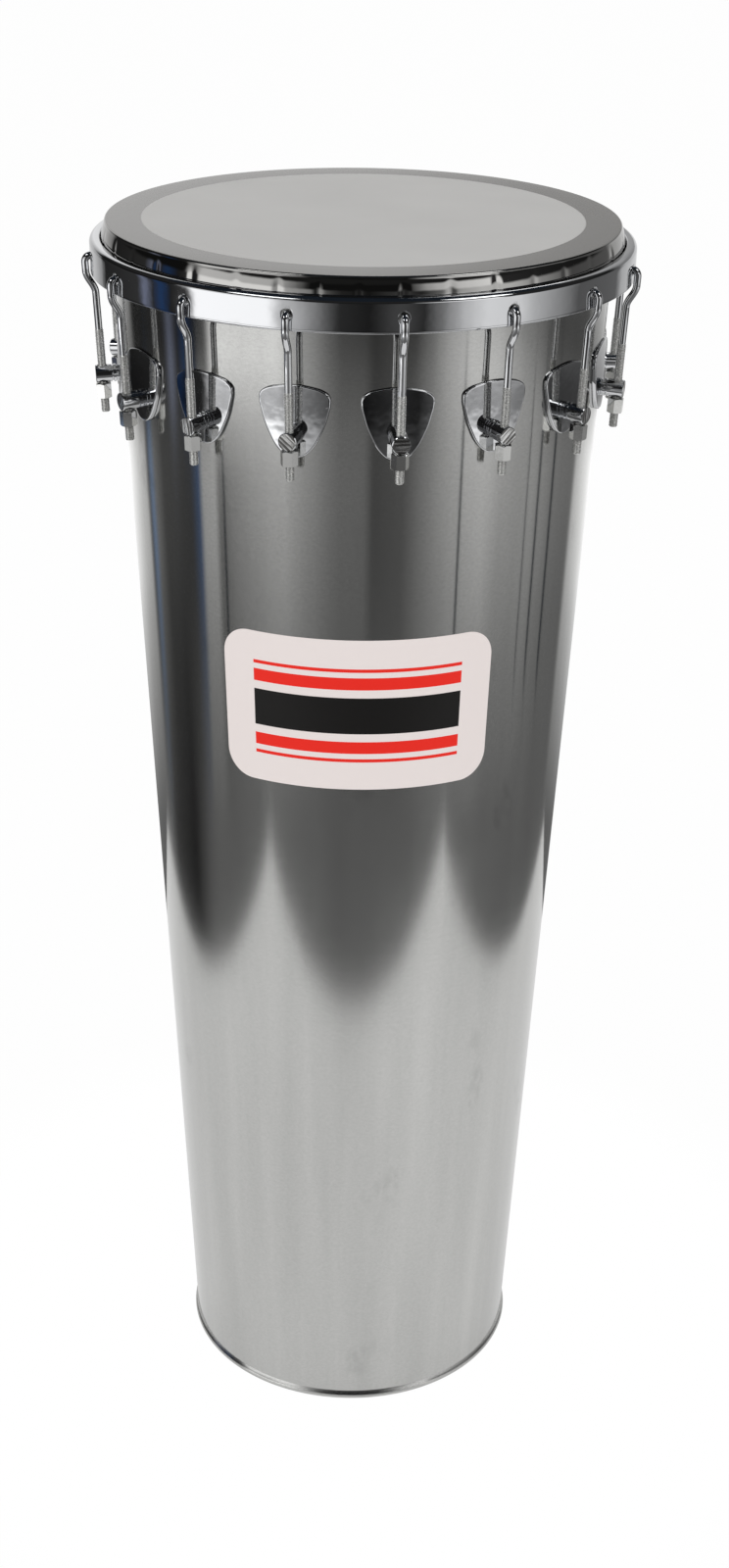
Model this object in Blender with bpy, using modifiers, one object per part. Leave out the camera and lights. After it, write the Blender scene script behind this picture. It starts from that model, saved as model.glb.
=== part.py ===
"""Timbal drum: a tall tapered aluminium shell with a plastic head drawn down by
sixteen tuning hooks, each held by a nut under the post of a shield-shaped lug.

Metres, +Z up. The origin is at the middle of the foot, on the surface that the drum stands on.
"""

import math

import bmesh
import bpy
from mathutils import Matrix

# Whole drum
HEIGHT = 0.9104                  # foot to playing face
SEGMENTS = 48                    # sides of every turned ring, three for each tuning station
STATIONS = 16                    # hooks, nuts and lugs
FIRST_STATION = math.radians(8)  # azimuth of station 1, from the front (-Y) towards +X
GAP = 0.0003                     # left between pieces that touch
OVERRUN = 0.0020                 # how far a drill or punch runs past what it cuts
SHARP_ANGLE = math.radians(32)   # shading: a corner that turns more than this shows as an edge

# Shell: rolled from sheet into a straight cone, with a bearing edge above and a wired edge below
SHEET = 0.0012
WALL_REFERENCE_RADIUS = 0.1282   # outer radius of the wall ...
WALL_REFERENCE_Z = 0.0098        # ... at this height
TAPER = 0.0476                   # outer radius gained for each metre of height
LEAN = math.atan(TAPER)          # tilt of the wall away from the vertical
EDGE_BEAD_RADIUS = 0.0024        # bearing edge, rolled outwards
EDGE_BEAD_CENTRE = (0.1716, 0.9075)
FOOT_BEAD_RADIUS = 0.0029        # wired edge, rolled round a steel wire
FOOT_BEAD_CENTRE = (0.1273, 0.002725)
WALL_TOP_Z = 0.9042              # the straight wall, between the two edges
WALL_BOTTOM_Z = 0.0070
WIRE_RADIUS = 0.0013
SCREW_HOLE_RADIUS = 0.0036       # one for each lug

# Head: film with a collar that hangs in the channel of its flesh hoop
FILM_THICKNESS = 0.0005
FILM_SHOULDER_RADIUS = 0.0016
HEAD_RADIUS = 0.1752             # outside of the collar just under the shoulder
COLLAR_FOOT_RADIUS = 0.1777      # outside of the collar where it enters the hoop
COLLAR_ENTRY_Z = 0.8975
COLLAR_END_Z = 0.8928
HOOP_INNER_RADIUS = 0.1735
HOOP_OUTER_RADIUS = 0.1818
HOOP_WALL = 0.0012
HOOP_FLOOR = 0.0009
HOOP_BOTTOM_Z = 0.8897
HOOP_TOP_Z = 0.8952

# Rim: a strip hoop whose top edge is curled inwards over the flesh hoop
RIM_RADIUS = 0.1856
RIM_THICKNESS = 0.0020
RIM_BOTTOM_Z = 0.8770
RIM_TOP_Z = 0.8990
RIM_CURL = 0.0038                # height and width of the rounded top corner
RIM_LIP_RADIUS = 0.1783
RIM_LIP_ROUND = 0.0012
RIM_EDGE_BREAK = 0.0005
RIM_HOLE_RADIUS = 0.0038
RIM_HOLE_Z = 0.8870

# Tuning station: its origin is where the rod's axis crosses the post's axis. X points away
# from the wall, square to it, Y runs round the drum and Z runs up the rod, along the wall.
STATION_RADIUS = 0.1797
STATION_Z = 0.8062

# Hook: thread below, a swan neck that clears the rim, and a claw through the rim's hole
WIRE_HOOK_RADIUS = 0.0025
THREAD_RADIUS = 0.0030
ROD_END_Z = -0.0268
THREAD_TOP_Z = 0.0312
THREAD_RUN_OUT = 0.0006          # length of the taper from the thread to the plain wire
NECK_START_Z = 0.0560
NECK_END_Z = 0.0710
NECK_OFFSET = 0.0055
CLAW_RADIUS = 0.00425
CLAW_CENTRE_Z = 0.0772
CLAW_TIP_Z = 0.0728

# Nut under the post
NUT_ACROSS_FLATS = 0.0100
NUT_HEIGHT = 0.0107
NUT_CHAMFER = 0.0007
BORE_RADIUS = 0.0034             # clearance for the rod in the nut and in the post

# Lug: shield plate, turned post with two grooves, and the screw and washer inside the shell
PLATE_FRONT_X = -0.0114
PLATE_BACK_X = -0.0180           # before the wall's curve is cut out of it
PLATE_BEVEL = 0.0009
PLATE_TOP = 0.0320
PLATE_SHOULDER = (0.0192, 0.0278)
PLATE_WIDEST = (0.0234, 0.0195)
PLATE_FLANK = (0.0180, -0.0016)
PLATE_BOTTOM = -0.0152
POST_RADIUS = 0.0060
POST_END_X = 0.0048
POST_END_BREAK = 0.0005
POST_ROOT = 0.0010               # depth of the post within the plate
ROUND_SIDES = 10                 # of the post, the washer and the rim's holes
BORE_SIDES = 8
GROOVES_X = (-0.0098, -0.0068)   # middles of the turned grooves
GROOVE_WIDTH = 0.0013
GROOVE_DEPTH = 0.0008
SCREW_RADIUS = 0.0030
WASHER_RADIUS = 0.0075
WASHER_OUTER_X = -0.0157
WASHER_THICKNESS = 0.0012
SCREW_ACROSS_CORNERS = 0.0100    # hexagon head
SCREW_HEAD_HEIGHT = 0.0034
SCREW_BITE = 0.0002              # depth that the screw's head is sunk in the washer

COLOURS = {
    # finish: (linear colour, roughness, metallic)
    "polished_aluminium": ((0.62, 0.62, 0.61), 0.18, 1.0),
    "steel_wire": ((0.45, 0.45, 0.45), 0.35, 1.0),
    "head_film": ((0.52, 0.51, 0.49), 0.30, 0.0),
    "hoop_aluminium": ((0.55, 0.55, 0.54), 0.35, 1.0),
    "chrome": ((0.72, 0.72, 0.73), 0.06, 1.0),
}


def clear_scene():
    for thing in list(bpy.data.objects):
        bpy.data.objects.remove(thing, do_unlink=True)


def new_collection(name, hidden=False):
    collection = bpy.data.collections.new(name)
    collection.hide_render = hidden
    bpy.context.scene.collection.children.link(collection)
    return collection


def finish(name):
    """The named finish, made once and shared by every piece that has it."""
    if name in bpy.data.materials:
        return bpy.data.materials[name]
    colour, roughness, metallic = COLOURS[name]
    material = bpy.data.materials.new(name)
    material.use_nodes = True
    shader = material.node_tree.nodes["Principled BSDF"]
    shader.inputs["Base Color"].default_value = (*colour, 1.0)
    shader.inputs["Roughness"].default_value = roughness
    shader.inputs["Metallic"].default_value = metallic
    return material


def add_object(name, data, collection, finish_name=None):
    thing = bpy.data.objects.new(name, data)
    collection.objects.link(thing)
    if finish_name:
        data.materials.append(finish(finish_name))
    else:
        thing.hide_render = True
        thing.display_type = "WIRE"
    return thing


def arc(centre, radius, start, end, steps):
    """Points along an arc, both ends included, with angles in degrees from +X towards +Z."""
    points = []
    for i in range(steps + 1):
        angle = math.radians(start + (end - start) * i / steps)
        points.append((centre[0] + radius * math.cos(angle), centre[1] + radius * math.sin(angle)))
    return points


def wall_radius(z):
    """Outer radius of the shell's wall at a height."""
    return WALL_REFERENCE_RADIUS + TAPER * (z - WALL_REFERENCE_Z)


def station_azimuth(index):
    return FIRST_STATION + index * 2 * math.pi / STATIONS


def turn_to(azimuth):
    """Turn about Z that takes +X to an azimuth, which is counted from -Y towards +X."""
    return azimuth - math.pi / 2


def profile_mesh(name, points, closed=True):
    """A profile in the XZ plane, as bare edges for a Screw modifier."""
    count = len(points)
    edges = [(i, i + 1) for i in range(count - 1)]
    if closed:
        edges.append((count - 1, 0))
    mesh = bpy.data.meshes.new(name)
    mesh.from_pydata([(r, 0.0, z) for r, z in points], edges, [])
    return mesh


def add_screw(thing, steps, axis="Z"):
    screw = thing.modifiers.new("turned", "SCREW")
    screw.axis = axis
    screw.angle = 2 * math.pi
    screw.steps = steps
    screw.render_steps = steps
    screw.use_merge_vertices = True
    screw.merge_threshold = 0.00001
    screw.use_smooth_shade = True
    return screw


def add_boolean(thing, other, operation="DIFFERENCE"):
    boolean = thing.modifiers.new(operation.lower(), "BOOLEAN")
    boolean.operation = operation
    boolean.solver = "EXACT"
    boolean.object = other
    return boolean


def turned_ring(name, points, collection, finish_name, closed=True):
    """A turned piece whose flats face the tuning stations."""
    ring = add_object(name, profile_mesh(name, points, closed), collection, finish_name)
    ring.rotation_euler.z = turn_to(FIRST_STATION) + math.pi / SEGMENTS
    add_screw(ring, SEGMENTS)
    return ring


def evaluated_mesh(thing, name, finish_name=None):
    """The mesh of an object with its modifiers applied, welded where caps meet sides."""
    graph = bpy.context.evaluated_depsgraph_get()
    graph.update()
    mesh = bpy.data.meshes.new_from_object(thing.evaluated_get(graph))
    mesh.name = name
    work = bmesh.new()
    work.from_mesh(mesh)
    bmesh.ops.remove_doubles(work, verts=work.verts, dist=0.000001)
    work.to_mesh(mesh)
    work.free()
    mesh.shade_smooth()
    mesh.set_sharp_from_angle(angle=SHARP_ANGLE)
    if finish_name:
        mesh.materials.clear()
        mesh.materials.append(finish(finish_name))
    return mesh


def apply_modifiers(thing):
    """Keeps a turned or cut piece as a plain mesh, with its corners shaded sharp."""
    name = thing.name
    mesh = evaluated_mesh(thing, name)
    thing.modifiers.clear()
    thing.data = mesh


def cylinder_mesh(name, radius, low, high, sides, frames):
    """One mesh of equal cylinders, each from low to high along Z of its frame."""
    work = bmesh.new()
    middle = Matrix.Translation((0.0, 0.0, (low + high) / 2))
    for frame in frames:
        bmesh.ops.create_cone(
            work, cap_ends=True, segments=sides, radius1=radius, radius2=radius,
            depth=high - low, matrix=frame @ middle,
        )
    mesh = bpy.data.meshes.new(name)
    work.to_mesh(mesh)
    work.free()
    return mesh


def outward_frames(radius, z, lean):
    """A frame at each station whose Z points away from the drum's axis."""
    frames = []
    for index in range(STATIONS):
        turn = Matrix.Rotation(turn_to(station_azimuth(index)), 4, "Z")
        outwards = Matrix.Rotation(math.pi / 2 + lean, 4, "Y")
        frames.append(turn @ Matrix.Translation((radius, 0.0, z)) @ outwards)
    return frames


def place_at_station(thing, index):
    """Puts a piece modelled in the station's own frame at its place round the drum."""
    azimuth = station_azimuth(index)
    thing.location = (
        STATION_RADIUS * math.sin(azimuth),
        -STATION_RADIUS * math.cos(azimuth),
        STATION_Z,
    )
    thing.rotation_euler = (0.0, LEAN, turn_to(azimuth))


def make_shell(parts, cutters):
    """Cone of sheet: over the bearing edge, down outside, round the foot wire, up inside."""
    curl = arc(FOOT_BEAD_CENTRE, FOOT_BEAD_RADIUS, 50, -230, 7)
    curl_inside = arc(FOOT_BEAD_CENTRE, FOOT_BEAD_RADIUS - SHEET, -230, 50, 5)
    points = arc(EDGE_BEAD_CENTRE, EDGE_BEAD_RADIUS, 180, -60, 4)
    points += [
        (wall_radius(WALL_TOP_Z), WALL_TOP_Z),
        (wall_radius(WALL_BOTTOM_Z), WALL_BOTTOM_Z),
    ]
    points += curl + curl_inside
    points += [
        (wall_radius(WALL_BOTTOM_Z) - SHEET, WALL_BOTTOM_Z),
        (wall_radius(WALL_TOP_Z) - SHEET, WALL_TOP_Z),
    ]
    shell = turned_ring("shell", points, parts, "polished_aluminium")

    frames = outward_frames(STATION_RADIUS, STATION_Z, LEAN)
    stand_off = (STATION_RADIUS - wall_radius(STATION_Z)) * math.cos(LEAN)
    inner_end = -stand_off - SHEET - OVERRUN
    outer_end = -stand_off + OVERRUN
    drills = cylinder_mesh(
        "lug_screw_drills", SCREW_HOLE_RADIUS, inner_end, outer_end, BORE_SIDES, frames
    )
    add_boolean(shell, add_object("lug_screw_drills", drills, cutters))
    apply_modifiers(shell)


def make_foot_wire(parts):
    points = arc(FOOT_BEAD_CENTRE, WIRE_RADIUS, 90, -198, 4)
    apply_modifiers(turned_ring("foot_wire", points, parts, "steel_wire"))


def make_head_film(parts):
    """Flat playing area, a rounded shoulder and a collar that widens on its way down."""
    shoulder = (HEAD_RADIUS - FILM_SHOULDER_RADIUS, HEIGHT - FILM_SHOULDER_RADIUS)
    outside = arc(shoulder, FILM_SHOULDER_RADIUS, 90, 0, 2)
    inside = arc(shoulder, FILM_SHOULDER_RADIUS - FILM_THICKNESS, 0, 90, 2)
    inner_foot = COLLAR_FOOT_RADIUS - FILM_THICKNESS
    points = [(0.0, HEIGHT)] + outside
    points += [(COLLAR_FOOT_RADIUS, COLLAR_ENTRY_Z), (COLLAR_FOOT_RADIUS, COLLAR_END_Z)]
    points += [(inner_foot, COLLAR_END_Z), (inner_foot, COLLAR_ENTRY_Z)] + inside
    points += [(0.0, HEIGHT - FILM_THICKNESS)]
    apply_modifiers(turned_ring("head_film", points, parts, "head_film", closed=False))


def make_flesh_hoop(parts):
    """Channel section, open above, that the collar hangs in."""
    floor = HOOP_BOTTOM_Z + HOOP_FLOOR
    points = [
        (HOOP_OUTER_RADIUS, HOOP_TOP_Z),
        (HOOP_OUTER_RADIUS, HOOP_BOTTOM_Z),
        (HOOP_INNER_RADIUS, HOOP_BOTTOM_Z),
        (HOOP_INNER_RADIUS, HOOP_TOP_Z),
        (HOOP_INNER_RADIUS + HOOP_WALL, HOOP_TOP_Z),
        (HOOP_INNER_RADIUS + HOOP_WALL, floor),
        (HOOP_OUTER_RADIUS - HOOP_WALL, floor),
        (HOOP_OUTER_RADIUS - HOOP_WALL, HOOP_TOP_Z),
    ]
    apply_modifiers(turned_ring("flesh_hoop", points, parts, "hoop_aluminium"))


def make_rim(parts, cutters):
    """Upright strip with its top curled in over the flesh hoop, and a hole for each claw."""
    inner = RIM_RADIUS - RIM_THICKNESS
    underside = HOOP_TOP_Z + GAP
    corner = (RIM_RADIUS - RIM_CURL, RIM_TOP_Z - RIM_CURL)
    points = arc(corner, RIM_CURL, 90, 0, 3)
    points += [
        (RIM_RADIUS, RIM_BOTTOM_Z + RIM_EDGE_BREAK),
        (RIM_RADIUS - RIM_EDGE_BREAK, RIM_BOTTOM_Z),
        (inner, RIM_BOTTOM_Z),
        (inner, underside),
        (RIM_LIP_RADIUS, underside),
        (RIM_LIP_RADIUS, RIM_TOP_Z - RIM_LIP_ROUND),
        (RIM_LIP_RADIUS + RIM_LIP_ROUND, RIM_TOP_Z),
    ]
    rim = turned_ring("rim", points, parts, "chrome")
    frames = outward_frames(RIM_RADIUS, RIM_HOLE_Z, 0.0)
    inner_end = -RIM_THICKNESS - OVERRUN
    punches = cylinder_mesh("rim_punches", RIM_HOLE_RADIUS, inner_end, OVERRUN, ROUND_SIDES, frames)
    add_boolean(rim, add_object("rim_punches", punches, cutters))
    apply_modifiers(rim)


def hook_path():
    """Centre line of a hook in its station's XZ plane, from the rod's end to the claw's tip."""
    path = [(0.0, ROD_END_Z), (0.0, THREAD_TOP_Z), (0.0, THREAD_TOP_Z + THREAD_RUN_OUT)]
    neck_steps = 4
    for i in range(neck_steps + 1):
        part = i / neck_steps
        x = NECK_OFFSET * (1 - math.cos(math.pi * part)) / 2
        path.append((x, NECK_START_Z + (NECK_END_Z - NECK_START_Z) * part))
    claw_centre = (NECK_OFFSET - CLAW_RADIUS, CLAW_CENTRE_Z)
    path += arc(claw_centre, CLAW_RADIUS, 0, 180, 4)
    path.append((claw_centre[0] - CLAW_RADIUS, CLAW_TIP_Z))
    return path


def add_copies(kind, mesh, parts):
    """One object at each station, all on the same mesh."""
    for index in range(STATIONS):
        copy = bpy.data.objects.new(f"{kind}_{index + 1:02d}", mesh)
        parts.objects.link(copy)
        place_at_station(copy, index)


def make_hooks(parts, cutters):
    """Bent wire, thicker where it is threaded, as one mesh for all the hooks."""
    path = hook_path()
    curve = bpy.data.curves.new("hook", "CURVE")
    curve.dimensions = "3D"
    curve.bevel_depth = WIRE_HOOK_RADIUS
    curve.bevel_resolution = 1
    curve.use_fill_caps = True
    spline = curve.splines.new("POLY")
    spline.points.add(len(path) - 1)
    for point, (x, z) in zip(spline.points, path):
        point.co = (x, 0.0, z, 1.0)
        threaded = z <= THREAD_TOP_Z and x == 0.0
        point.radius = THREAD_RADIUS / WIRE_HOOK_RADIUS if threaded else 1.0
    wire = add_object("hook_wire", curve, cutters)
    mesh = evaluated_mesh(wire, "hook", "chrome")
    bpy.data.objects.remove(wire, do_unlink=True)
    add_copies("hook", mesh, parts)


def make_nuts(parts, cutters):
    """Long hexagon nuts with chamfered ends, bored for the rod."""
    top = -POST_RADIUS - GAP
    bottom = top - NUT_HEIGHT
    corner = NUT_ACROSS_FLATS / math.sqrt(3)
    points = [
        (0.0, top),
        (corner - NUT_CHAMFER, top),
        (corner, top - NUT_CHAMFER),
        (corner, bottom + NUT_CHAMFER),
        (corner - NUT_CHAMFER, bottom),
        (0.0, bottom),
    ]
    blank = add_object("nut_blank", profile_mesh("nut_blank", points, closed=False), cutters)
    add_screw(blank, 6)
    bore = cylinder_mesh(
        "nut_bore", BORE_RADIUS, bottom - OVERRUN, top + OVERRUN, BORE_SIDES, [Matrix()]
    )
    add_boolean(blank, add_object("nut_bore", bore, cutters))
    add_copies("nut", evaluated_mesh(blank, "nut", "chrome"), parts)


def plate_blank(cutters):
    """Shield outline through its named points, as a thick plate with a bevelled front."""
    right = [PLATE_SHOULDER, PLATE_WIDEST, PLATE_FLANK]
    left = [(-y, z) for y, z in reversed(right)]
    outline = [(0.0, PLATE_TOP)] + right + [(0.0, PLATE_BOTTOM)] + left
    curve = bpy.data.curves.new("plate_outline", "CURVE")
    curve.dimensions = "2D"
    curve.fill_mode = "BOTH"
    curve.resolution_u = 3
    curve.extrude = (PLATE_FRONT_X - PLATE_BACK_X) / 2 - PLATE_BEVEL
    curve.bevel_depth = PLATE_BEVEL
    curve.bevel_resolution = 0
    curve.offset = -PLATE_BEVEL
    spline = curve.splines.new("BEZIER")
    spline.use_cyclic_u = True
    spline.bezier_points.add(len(outline) - 1)
    for point, (y, z) in zip(spline.bezier_points, outline):
        point.co = (y, z, 0.0)
        point.handle_left_type = "AUTO"
        point.handle_right_type = "AUTO"
    drawn = add_object("plate_outline", curve, cutters)
    mesh = evaluated_mesh(drawn, "plate_blank")
    bpy.data.objects.remove(drawn, do_unlink=True)
    # The outline was drawn flat: its X becomes the station's Y, its Y the station's Z.
    stand = Matrix(((0, 0, 1), (1, 0, 0), (0, 1, 0))).to_4x4()
    middle = Matrix.Translation(((PLATE_FRONT_X + PLATE_BACK_X) / 2, 0.0, 0.0))
    mesh.transform(middle @ stand)
    plate = add_object("plate_blank", mesh, cutters)
    place_at_station(plate, 0)
    return plate


def turned_bar(name, bar, sides, cutters):
    """A bar turned about station 1's X axis, from its points (x, radius)."""
    mesh = bpy.data.meshes.new(name)
    edges = [(i, i + 1) for i in range(len(bar) - 1)]
    mesh.from_pydata([(x, 0.0, r) for x, r in bar], edges, [])
    turned = add_object(name, mesh, cutters)
    add_screw(turned, sides, axis="X")
    place_at_station(turned, 0)
    return turned


def screw_blank(cutters):
    """Hexagon screw through the shell, from its head inside to a point within the post."""
    underhead_x = WASHER_OUTER_X - WASHER_THICKNESS + SCREW_BITE
    head_x = underhead_x - SCREW_HEAD_HEIGHT
    corner = SCREW_ACROSS_CORNERS / 2
    bar = [
        (head_x, 0.0), (head_x, corner), (underhead_x, corner),
        (underhead_x, SCREW_RADIUS), (PLATE_FRONT_X, SCREW_RADIUS), (PLATE_FRONT_X, 0.0),
    ]
    return turned_bar("screw_blank", bar, 6, cutters)


def washer_blank(cutters):
    inner_x = WASHER_OUTER_X - WASHER_THICKNESS
    bar = [
        (inner_x, 0.0), (inner_x, WASHER_RADIUS),
        (WASHER_OUTER_X, WASHER_RADIUS), (WASHER_OUTER_X, 0.0),
    ]
    return turned_bar("washer_blank", bar, ROUND_SIDES, cutters)


def post_blank(cutters):
    """Turned post with its two grooves and a broken edge at its cut end."""
    half = GROOVE_WIDTH / 2
    start_x = PLATE_FRONT_X - POST_ROOT
    bar = [(start_x, 0.0), (start_x, POST_RADIUS)]
    for groove_x in GROOVES_X:
        bar += [
            (groove_x - half, POST_RADIUS),
            (groove_x, POST_RADIUS - GROOVE_DEPTH),
            (groove_x + half, POST_RADIUS),
        ]
    bar += [
        (POST_END_X - POST_END_BREAK, POST_RADIUS),
        (POST_END_X, POST_RADIUS - POST_END_BREAK),
        (POST_END_X, 0.0),
    ]
    return turned_bar("post_blank", bar, ROUND_SIDES, cutters)


def wall_cutter(cutters):
    """Solid cone a gap larger than the wall, which leaves its curve in the plate's back."""
    low = STATION_Z + PLATE_BOTTOM - OVERRUN
    high = STATION_Z + PLATE_TOP + OVERRUN
    clearance = GAP / math.cos(LEAN)
    work = bmesh.new()
    bmesh.ops.create_cone(
        work, cap_ends=True, segments=SEGMENTS, depth=high - low,
        radius1=wall_radius(low) + clearance, radius2=wall_radius(high) + clearance,
        matrix=Matrix.Translation((0.0, 0.0, (low + high) / 2)),
    )
    mesh = bpy.data.meshes.new("wall_cutter")
    work.to_mesh(mesh)
    work.free()
    cutter = add_object("wall_cutter", mesh, cutters)
    cutter.rotation_euler.z = turn_to(FIRST_STATION) + math.pi / SEGMENTS
    return cutter


def make_lugs(parts, cutters):
    plate = plate_blank(cutters)
    add_boolean(plate, wall_cutter(cutters))
    for blank in (post_blank(cutters), screw_blank(cutters), washer_blank(cutters)):
        add_boolean(plate, blank, "UNION")
    reach = POST_RADIUS + OVERRUN
    drill = cylinder_mesh("rod_drill", BORE_RADIUS, -reach, reach, BORE_SIDES, [Matrix()])
    rod_drill = add_object("rod_drill", drill, cutters)
    place_at_station(rod_drill, 0)
    add_boolean(plate, rod_drill)
    add_copies("lug", evaluated_mesh(plate, "lug", "chrome"), parts)


def main():
    clear_scene()
    parts = new_collection("timbal_drum")
    cutters = new_collection("cutters", hidden=True)
    make_shell(parts, cutters)
    make_foot_wire(parts)
    make_head_film(parts)
    make_flesh_hoop(parts)
    make_rim(parts, cutters)
    make_hooks(parts, cutters)
    make_nuts(parts, cutters)
    make_lugs(parts, cutters)


main()
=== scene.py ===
"""Looks of the timbal drum: fine surfaces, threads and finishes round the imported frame.

Metres, +Z up, origin at the middle of the foot, -Y towards the camera.
"""

import math

import bmesh
import bpy
from bpy.props import FloatProperty, FloatVectorProperty, IntProperty, PointerProperty
from bpy.types import Operator, Panel, PropertyGroup
from mathutils import Matrix, Vector


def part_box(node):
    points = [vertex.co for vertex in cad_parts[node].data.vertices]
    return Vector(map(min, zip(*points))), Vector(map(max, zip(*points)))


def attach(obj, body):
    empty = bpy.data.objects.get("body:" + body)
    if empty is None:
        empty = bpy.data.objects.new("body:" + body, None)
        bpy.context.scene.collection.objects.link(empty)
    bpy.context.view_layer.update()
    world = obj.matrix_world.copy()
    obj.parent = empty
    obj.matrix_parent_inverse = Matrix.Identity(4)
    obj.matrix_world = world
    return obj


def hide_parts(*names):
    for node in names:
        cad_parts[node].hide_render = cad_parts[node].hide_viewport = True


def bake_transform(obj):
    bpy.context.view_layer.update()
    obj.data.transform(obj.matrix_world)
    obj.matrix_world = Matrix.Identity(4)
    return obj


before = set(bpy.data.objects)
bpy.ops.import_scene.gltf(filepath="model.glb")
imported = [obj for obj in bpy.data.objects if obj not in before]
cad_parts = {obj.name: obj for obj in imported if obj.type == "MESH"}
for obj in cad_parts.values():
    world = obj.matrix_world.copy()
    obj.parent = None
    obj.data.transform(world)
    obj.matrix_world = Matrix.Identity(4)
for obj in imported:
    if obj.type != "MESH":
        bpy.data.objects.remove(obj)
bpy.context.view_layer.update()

bl_info = {
    "name": "Timbal drum",
    "version": (1, 0, 0),
    "blender": (4, 5, 0),
    "location": "View3D > Sidebar > Timbal",
    "description": "Builds the fine surfaces and finishes of a timbal drum, and its studio",
    "category": "Object",
}

DRUM, RIM_BODY = "drum", "rim_and_hoop"
STATION_NAMES = sorted(name[-2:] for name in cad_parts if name.startswith("lug_"))
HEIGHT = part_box("head_film")[1].z
RIM_BOTTOM_Z, RIM_TOP_Z = (corner.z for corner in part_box("rim"))
HOOP_BOTTOM_Z, HOOP_TOP_Z = (corner.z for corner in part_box("flesh_hoop"))
SMOOTH_STEPS = 384               # facets round every large turned piece
SHARP = math.radians(30)         # a corner that turns more than this is shaded as an edge
FULL_TURN = 2 * math.pi
SAME_PLACE = 1e-5                # points closer than this are one on the rim


# Sizes and colours that a user would change


def linear(code):
    """Linear colour with alpha from an sRGB hex code."""
    values = [int(code[i:i + 2], 16) / 255 for i in (1, 3, 5)]
    return [v / 12.92 if v <= 0.04045 else ((v + 0.055) / 1.055) ** 2.4 for v in values] + [1.0]


def amount(name, default, description, **kind):
    """A plain number that a user may change."""
    return FloatProperty(name=name, default=default, description=description, **kind)


def length(name, default, description):
    """A length in metres."""
    return amount(name, default, description, unit="LENGTH", precision=5)


def angle(name, default, description):
    """An angle in radians, which the panel shows in degrees."""
    return amount(name, default, description, subtype="ANGLE")


def colour(name, code, description):
    """A colour from its sRGB hex code."""
    return FloatVectorProperty(
        name=name, default=linear(code), description=description, subtype="COLOR", size=4, min=0, max=1
    )


class TimbalShell(PropertyGroup):
    sheet: length("Sheet", 0.0012, "Thickness of the rolled sheet")
    reference_radius: length("Reference radius", 0.1282, "Outer radius at the reference height")
    reference_z: length("Reference height", 0.0098, "Height at which the reference radius is taken")
    taper: amount("Taper", 0.0476, "Radius gained for each metre of height")
    wall_top: length("Wall top", 0.9042, "Height at which the straight wall ends above")
    wall_bottom: length("Wall bottom", 0.0070, "Height at which the straight wall ends below")
    edge_bead: length("Edge bead", 0.0024, "Radius of the bearing edge")
    edge_radius: length("Edge radius", 0.1716, "Radius of the middle of the bearing edge")
    edge_z: length("Edge height", 0.9075, "Height of the middle of the bearing edge")
    foot_bead: length("Foot bead", 0.0029, "Radius of the wired edge at the foot")
    foot_radius: length("Foot radius", 0.1273, "Radius of the middle of the wired edge")
    foot_z: length("Foot height", 0.0029, "Height of the middle of the wired edge")
    waves: length("Waves", 0.00005, "Height of the shallow waves left by the rolls")
    wave_width: length("Wave width", 0.045, "Width of one wave round the shell")


class TimbalHead(PropertyGroup):
    thickness: length("Film", 0.0005, "Thickness of the film")
    radius: length("Radius", 0.1752, "Outside of the collar under its shoulder")
    shoulder: length("Shoulder", 0.0016, "Radius of the bend from the top to the collar")
    foot_radius: length("Collar foot", 0.1777, "Outside of the collar where it enters the hoop")
    bulge: amount("Bulge", 0.8, "How much sooner than evenly the collar widens")
    entry_z: length("Collar entry", 0.8975, "Height at which the collar enters the hoop")
    end_z: length("Collar end", 0.8928, "Height of the collar's end in the hoop")
    coat_radius: length("Coat", 0.1504, "Radius of the white coating")
    pleats: IntProperty(name="Pleats", default=38, description="Pleats pressed into the collar")
    pleat_depth: length("Pleat depth", 0.00035, "Depth of a pleat at the hoop")
    pleat_rise: length("Pleat rise", 0.007, "Height over which a pleat deepens")
    hoop_inner: length("Hoop inside", 0.1735, "Inner radius of the flesh hoop")
    hoop_outer: length("Hoop outside", 0.1818, "Outer radius of the flesh hoop")
    hoop_wall: length("Hoop wall", 0.0012, "Thickness of the flesh hoop's walls")
    hoop_floor: length("Hoop floor", 0.0009, "Thickness of the flesh hoop's floor")


class TimbalRim(PropertyGroup):
    radius: length("Radius", 0.1856, "Outer radius of the rim")
    thickness: length("Thickness", 0.0020, "Thickness of the strip")
    curl: length("Curl", 0.0038, "Radius of the rounded top corner")
    lip_radius: length("Lip", 0.1783, "Inner radius of the lip that presses on the hoop")
    lip_round: length("Lip rounding", 0.0012, "Radius of the lip's inner corner")
    lip_gap: length("Lip gap", 0.0003, "Left between the lip and the hoop")
    edge_break: length("Edge break", 0.0005, "Rounding of the lower edge")
    hole_radius: length("Holes", 0.0038, "Radius of the holes for the claws")
    hole_z: length("Hole height", 0.8870, "Height of the holes for the claws")
    hole_round: length("Hole rounding", 0.0004, "Rounding of the punched edge")
    draw: length("Draw", 0.00016, "How far the punch drew the strip in round a hole")
    draw_width: length("Draw width", 0.0070, "How far from a hole's middle the strip is drawn in")
    tuck: amount("Tuck", 0.6, "How strongly the lower part curves in, per metre")


class TimbalStations(PropertyGroup):
    first: angle("First", math.radians(8), "Azimuth of station 1 from the front")
    radius: length("Radius", 0.1797, "Radius at which a rod crosses its post")
    height: length("Height", 0.8062, "Height at which a rod crosses its post")


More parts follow.
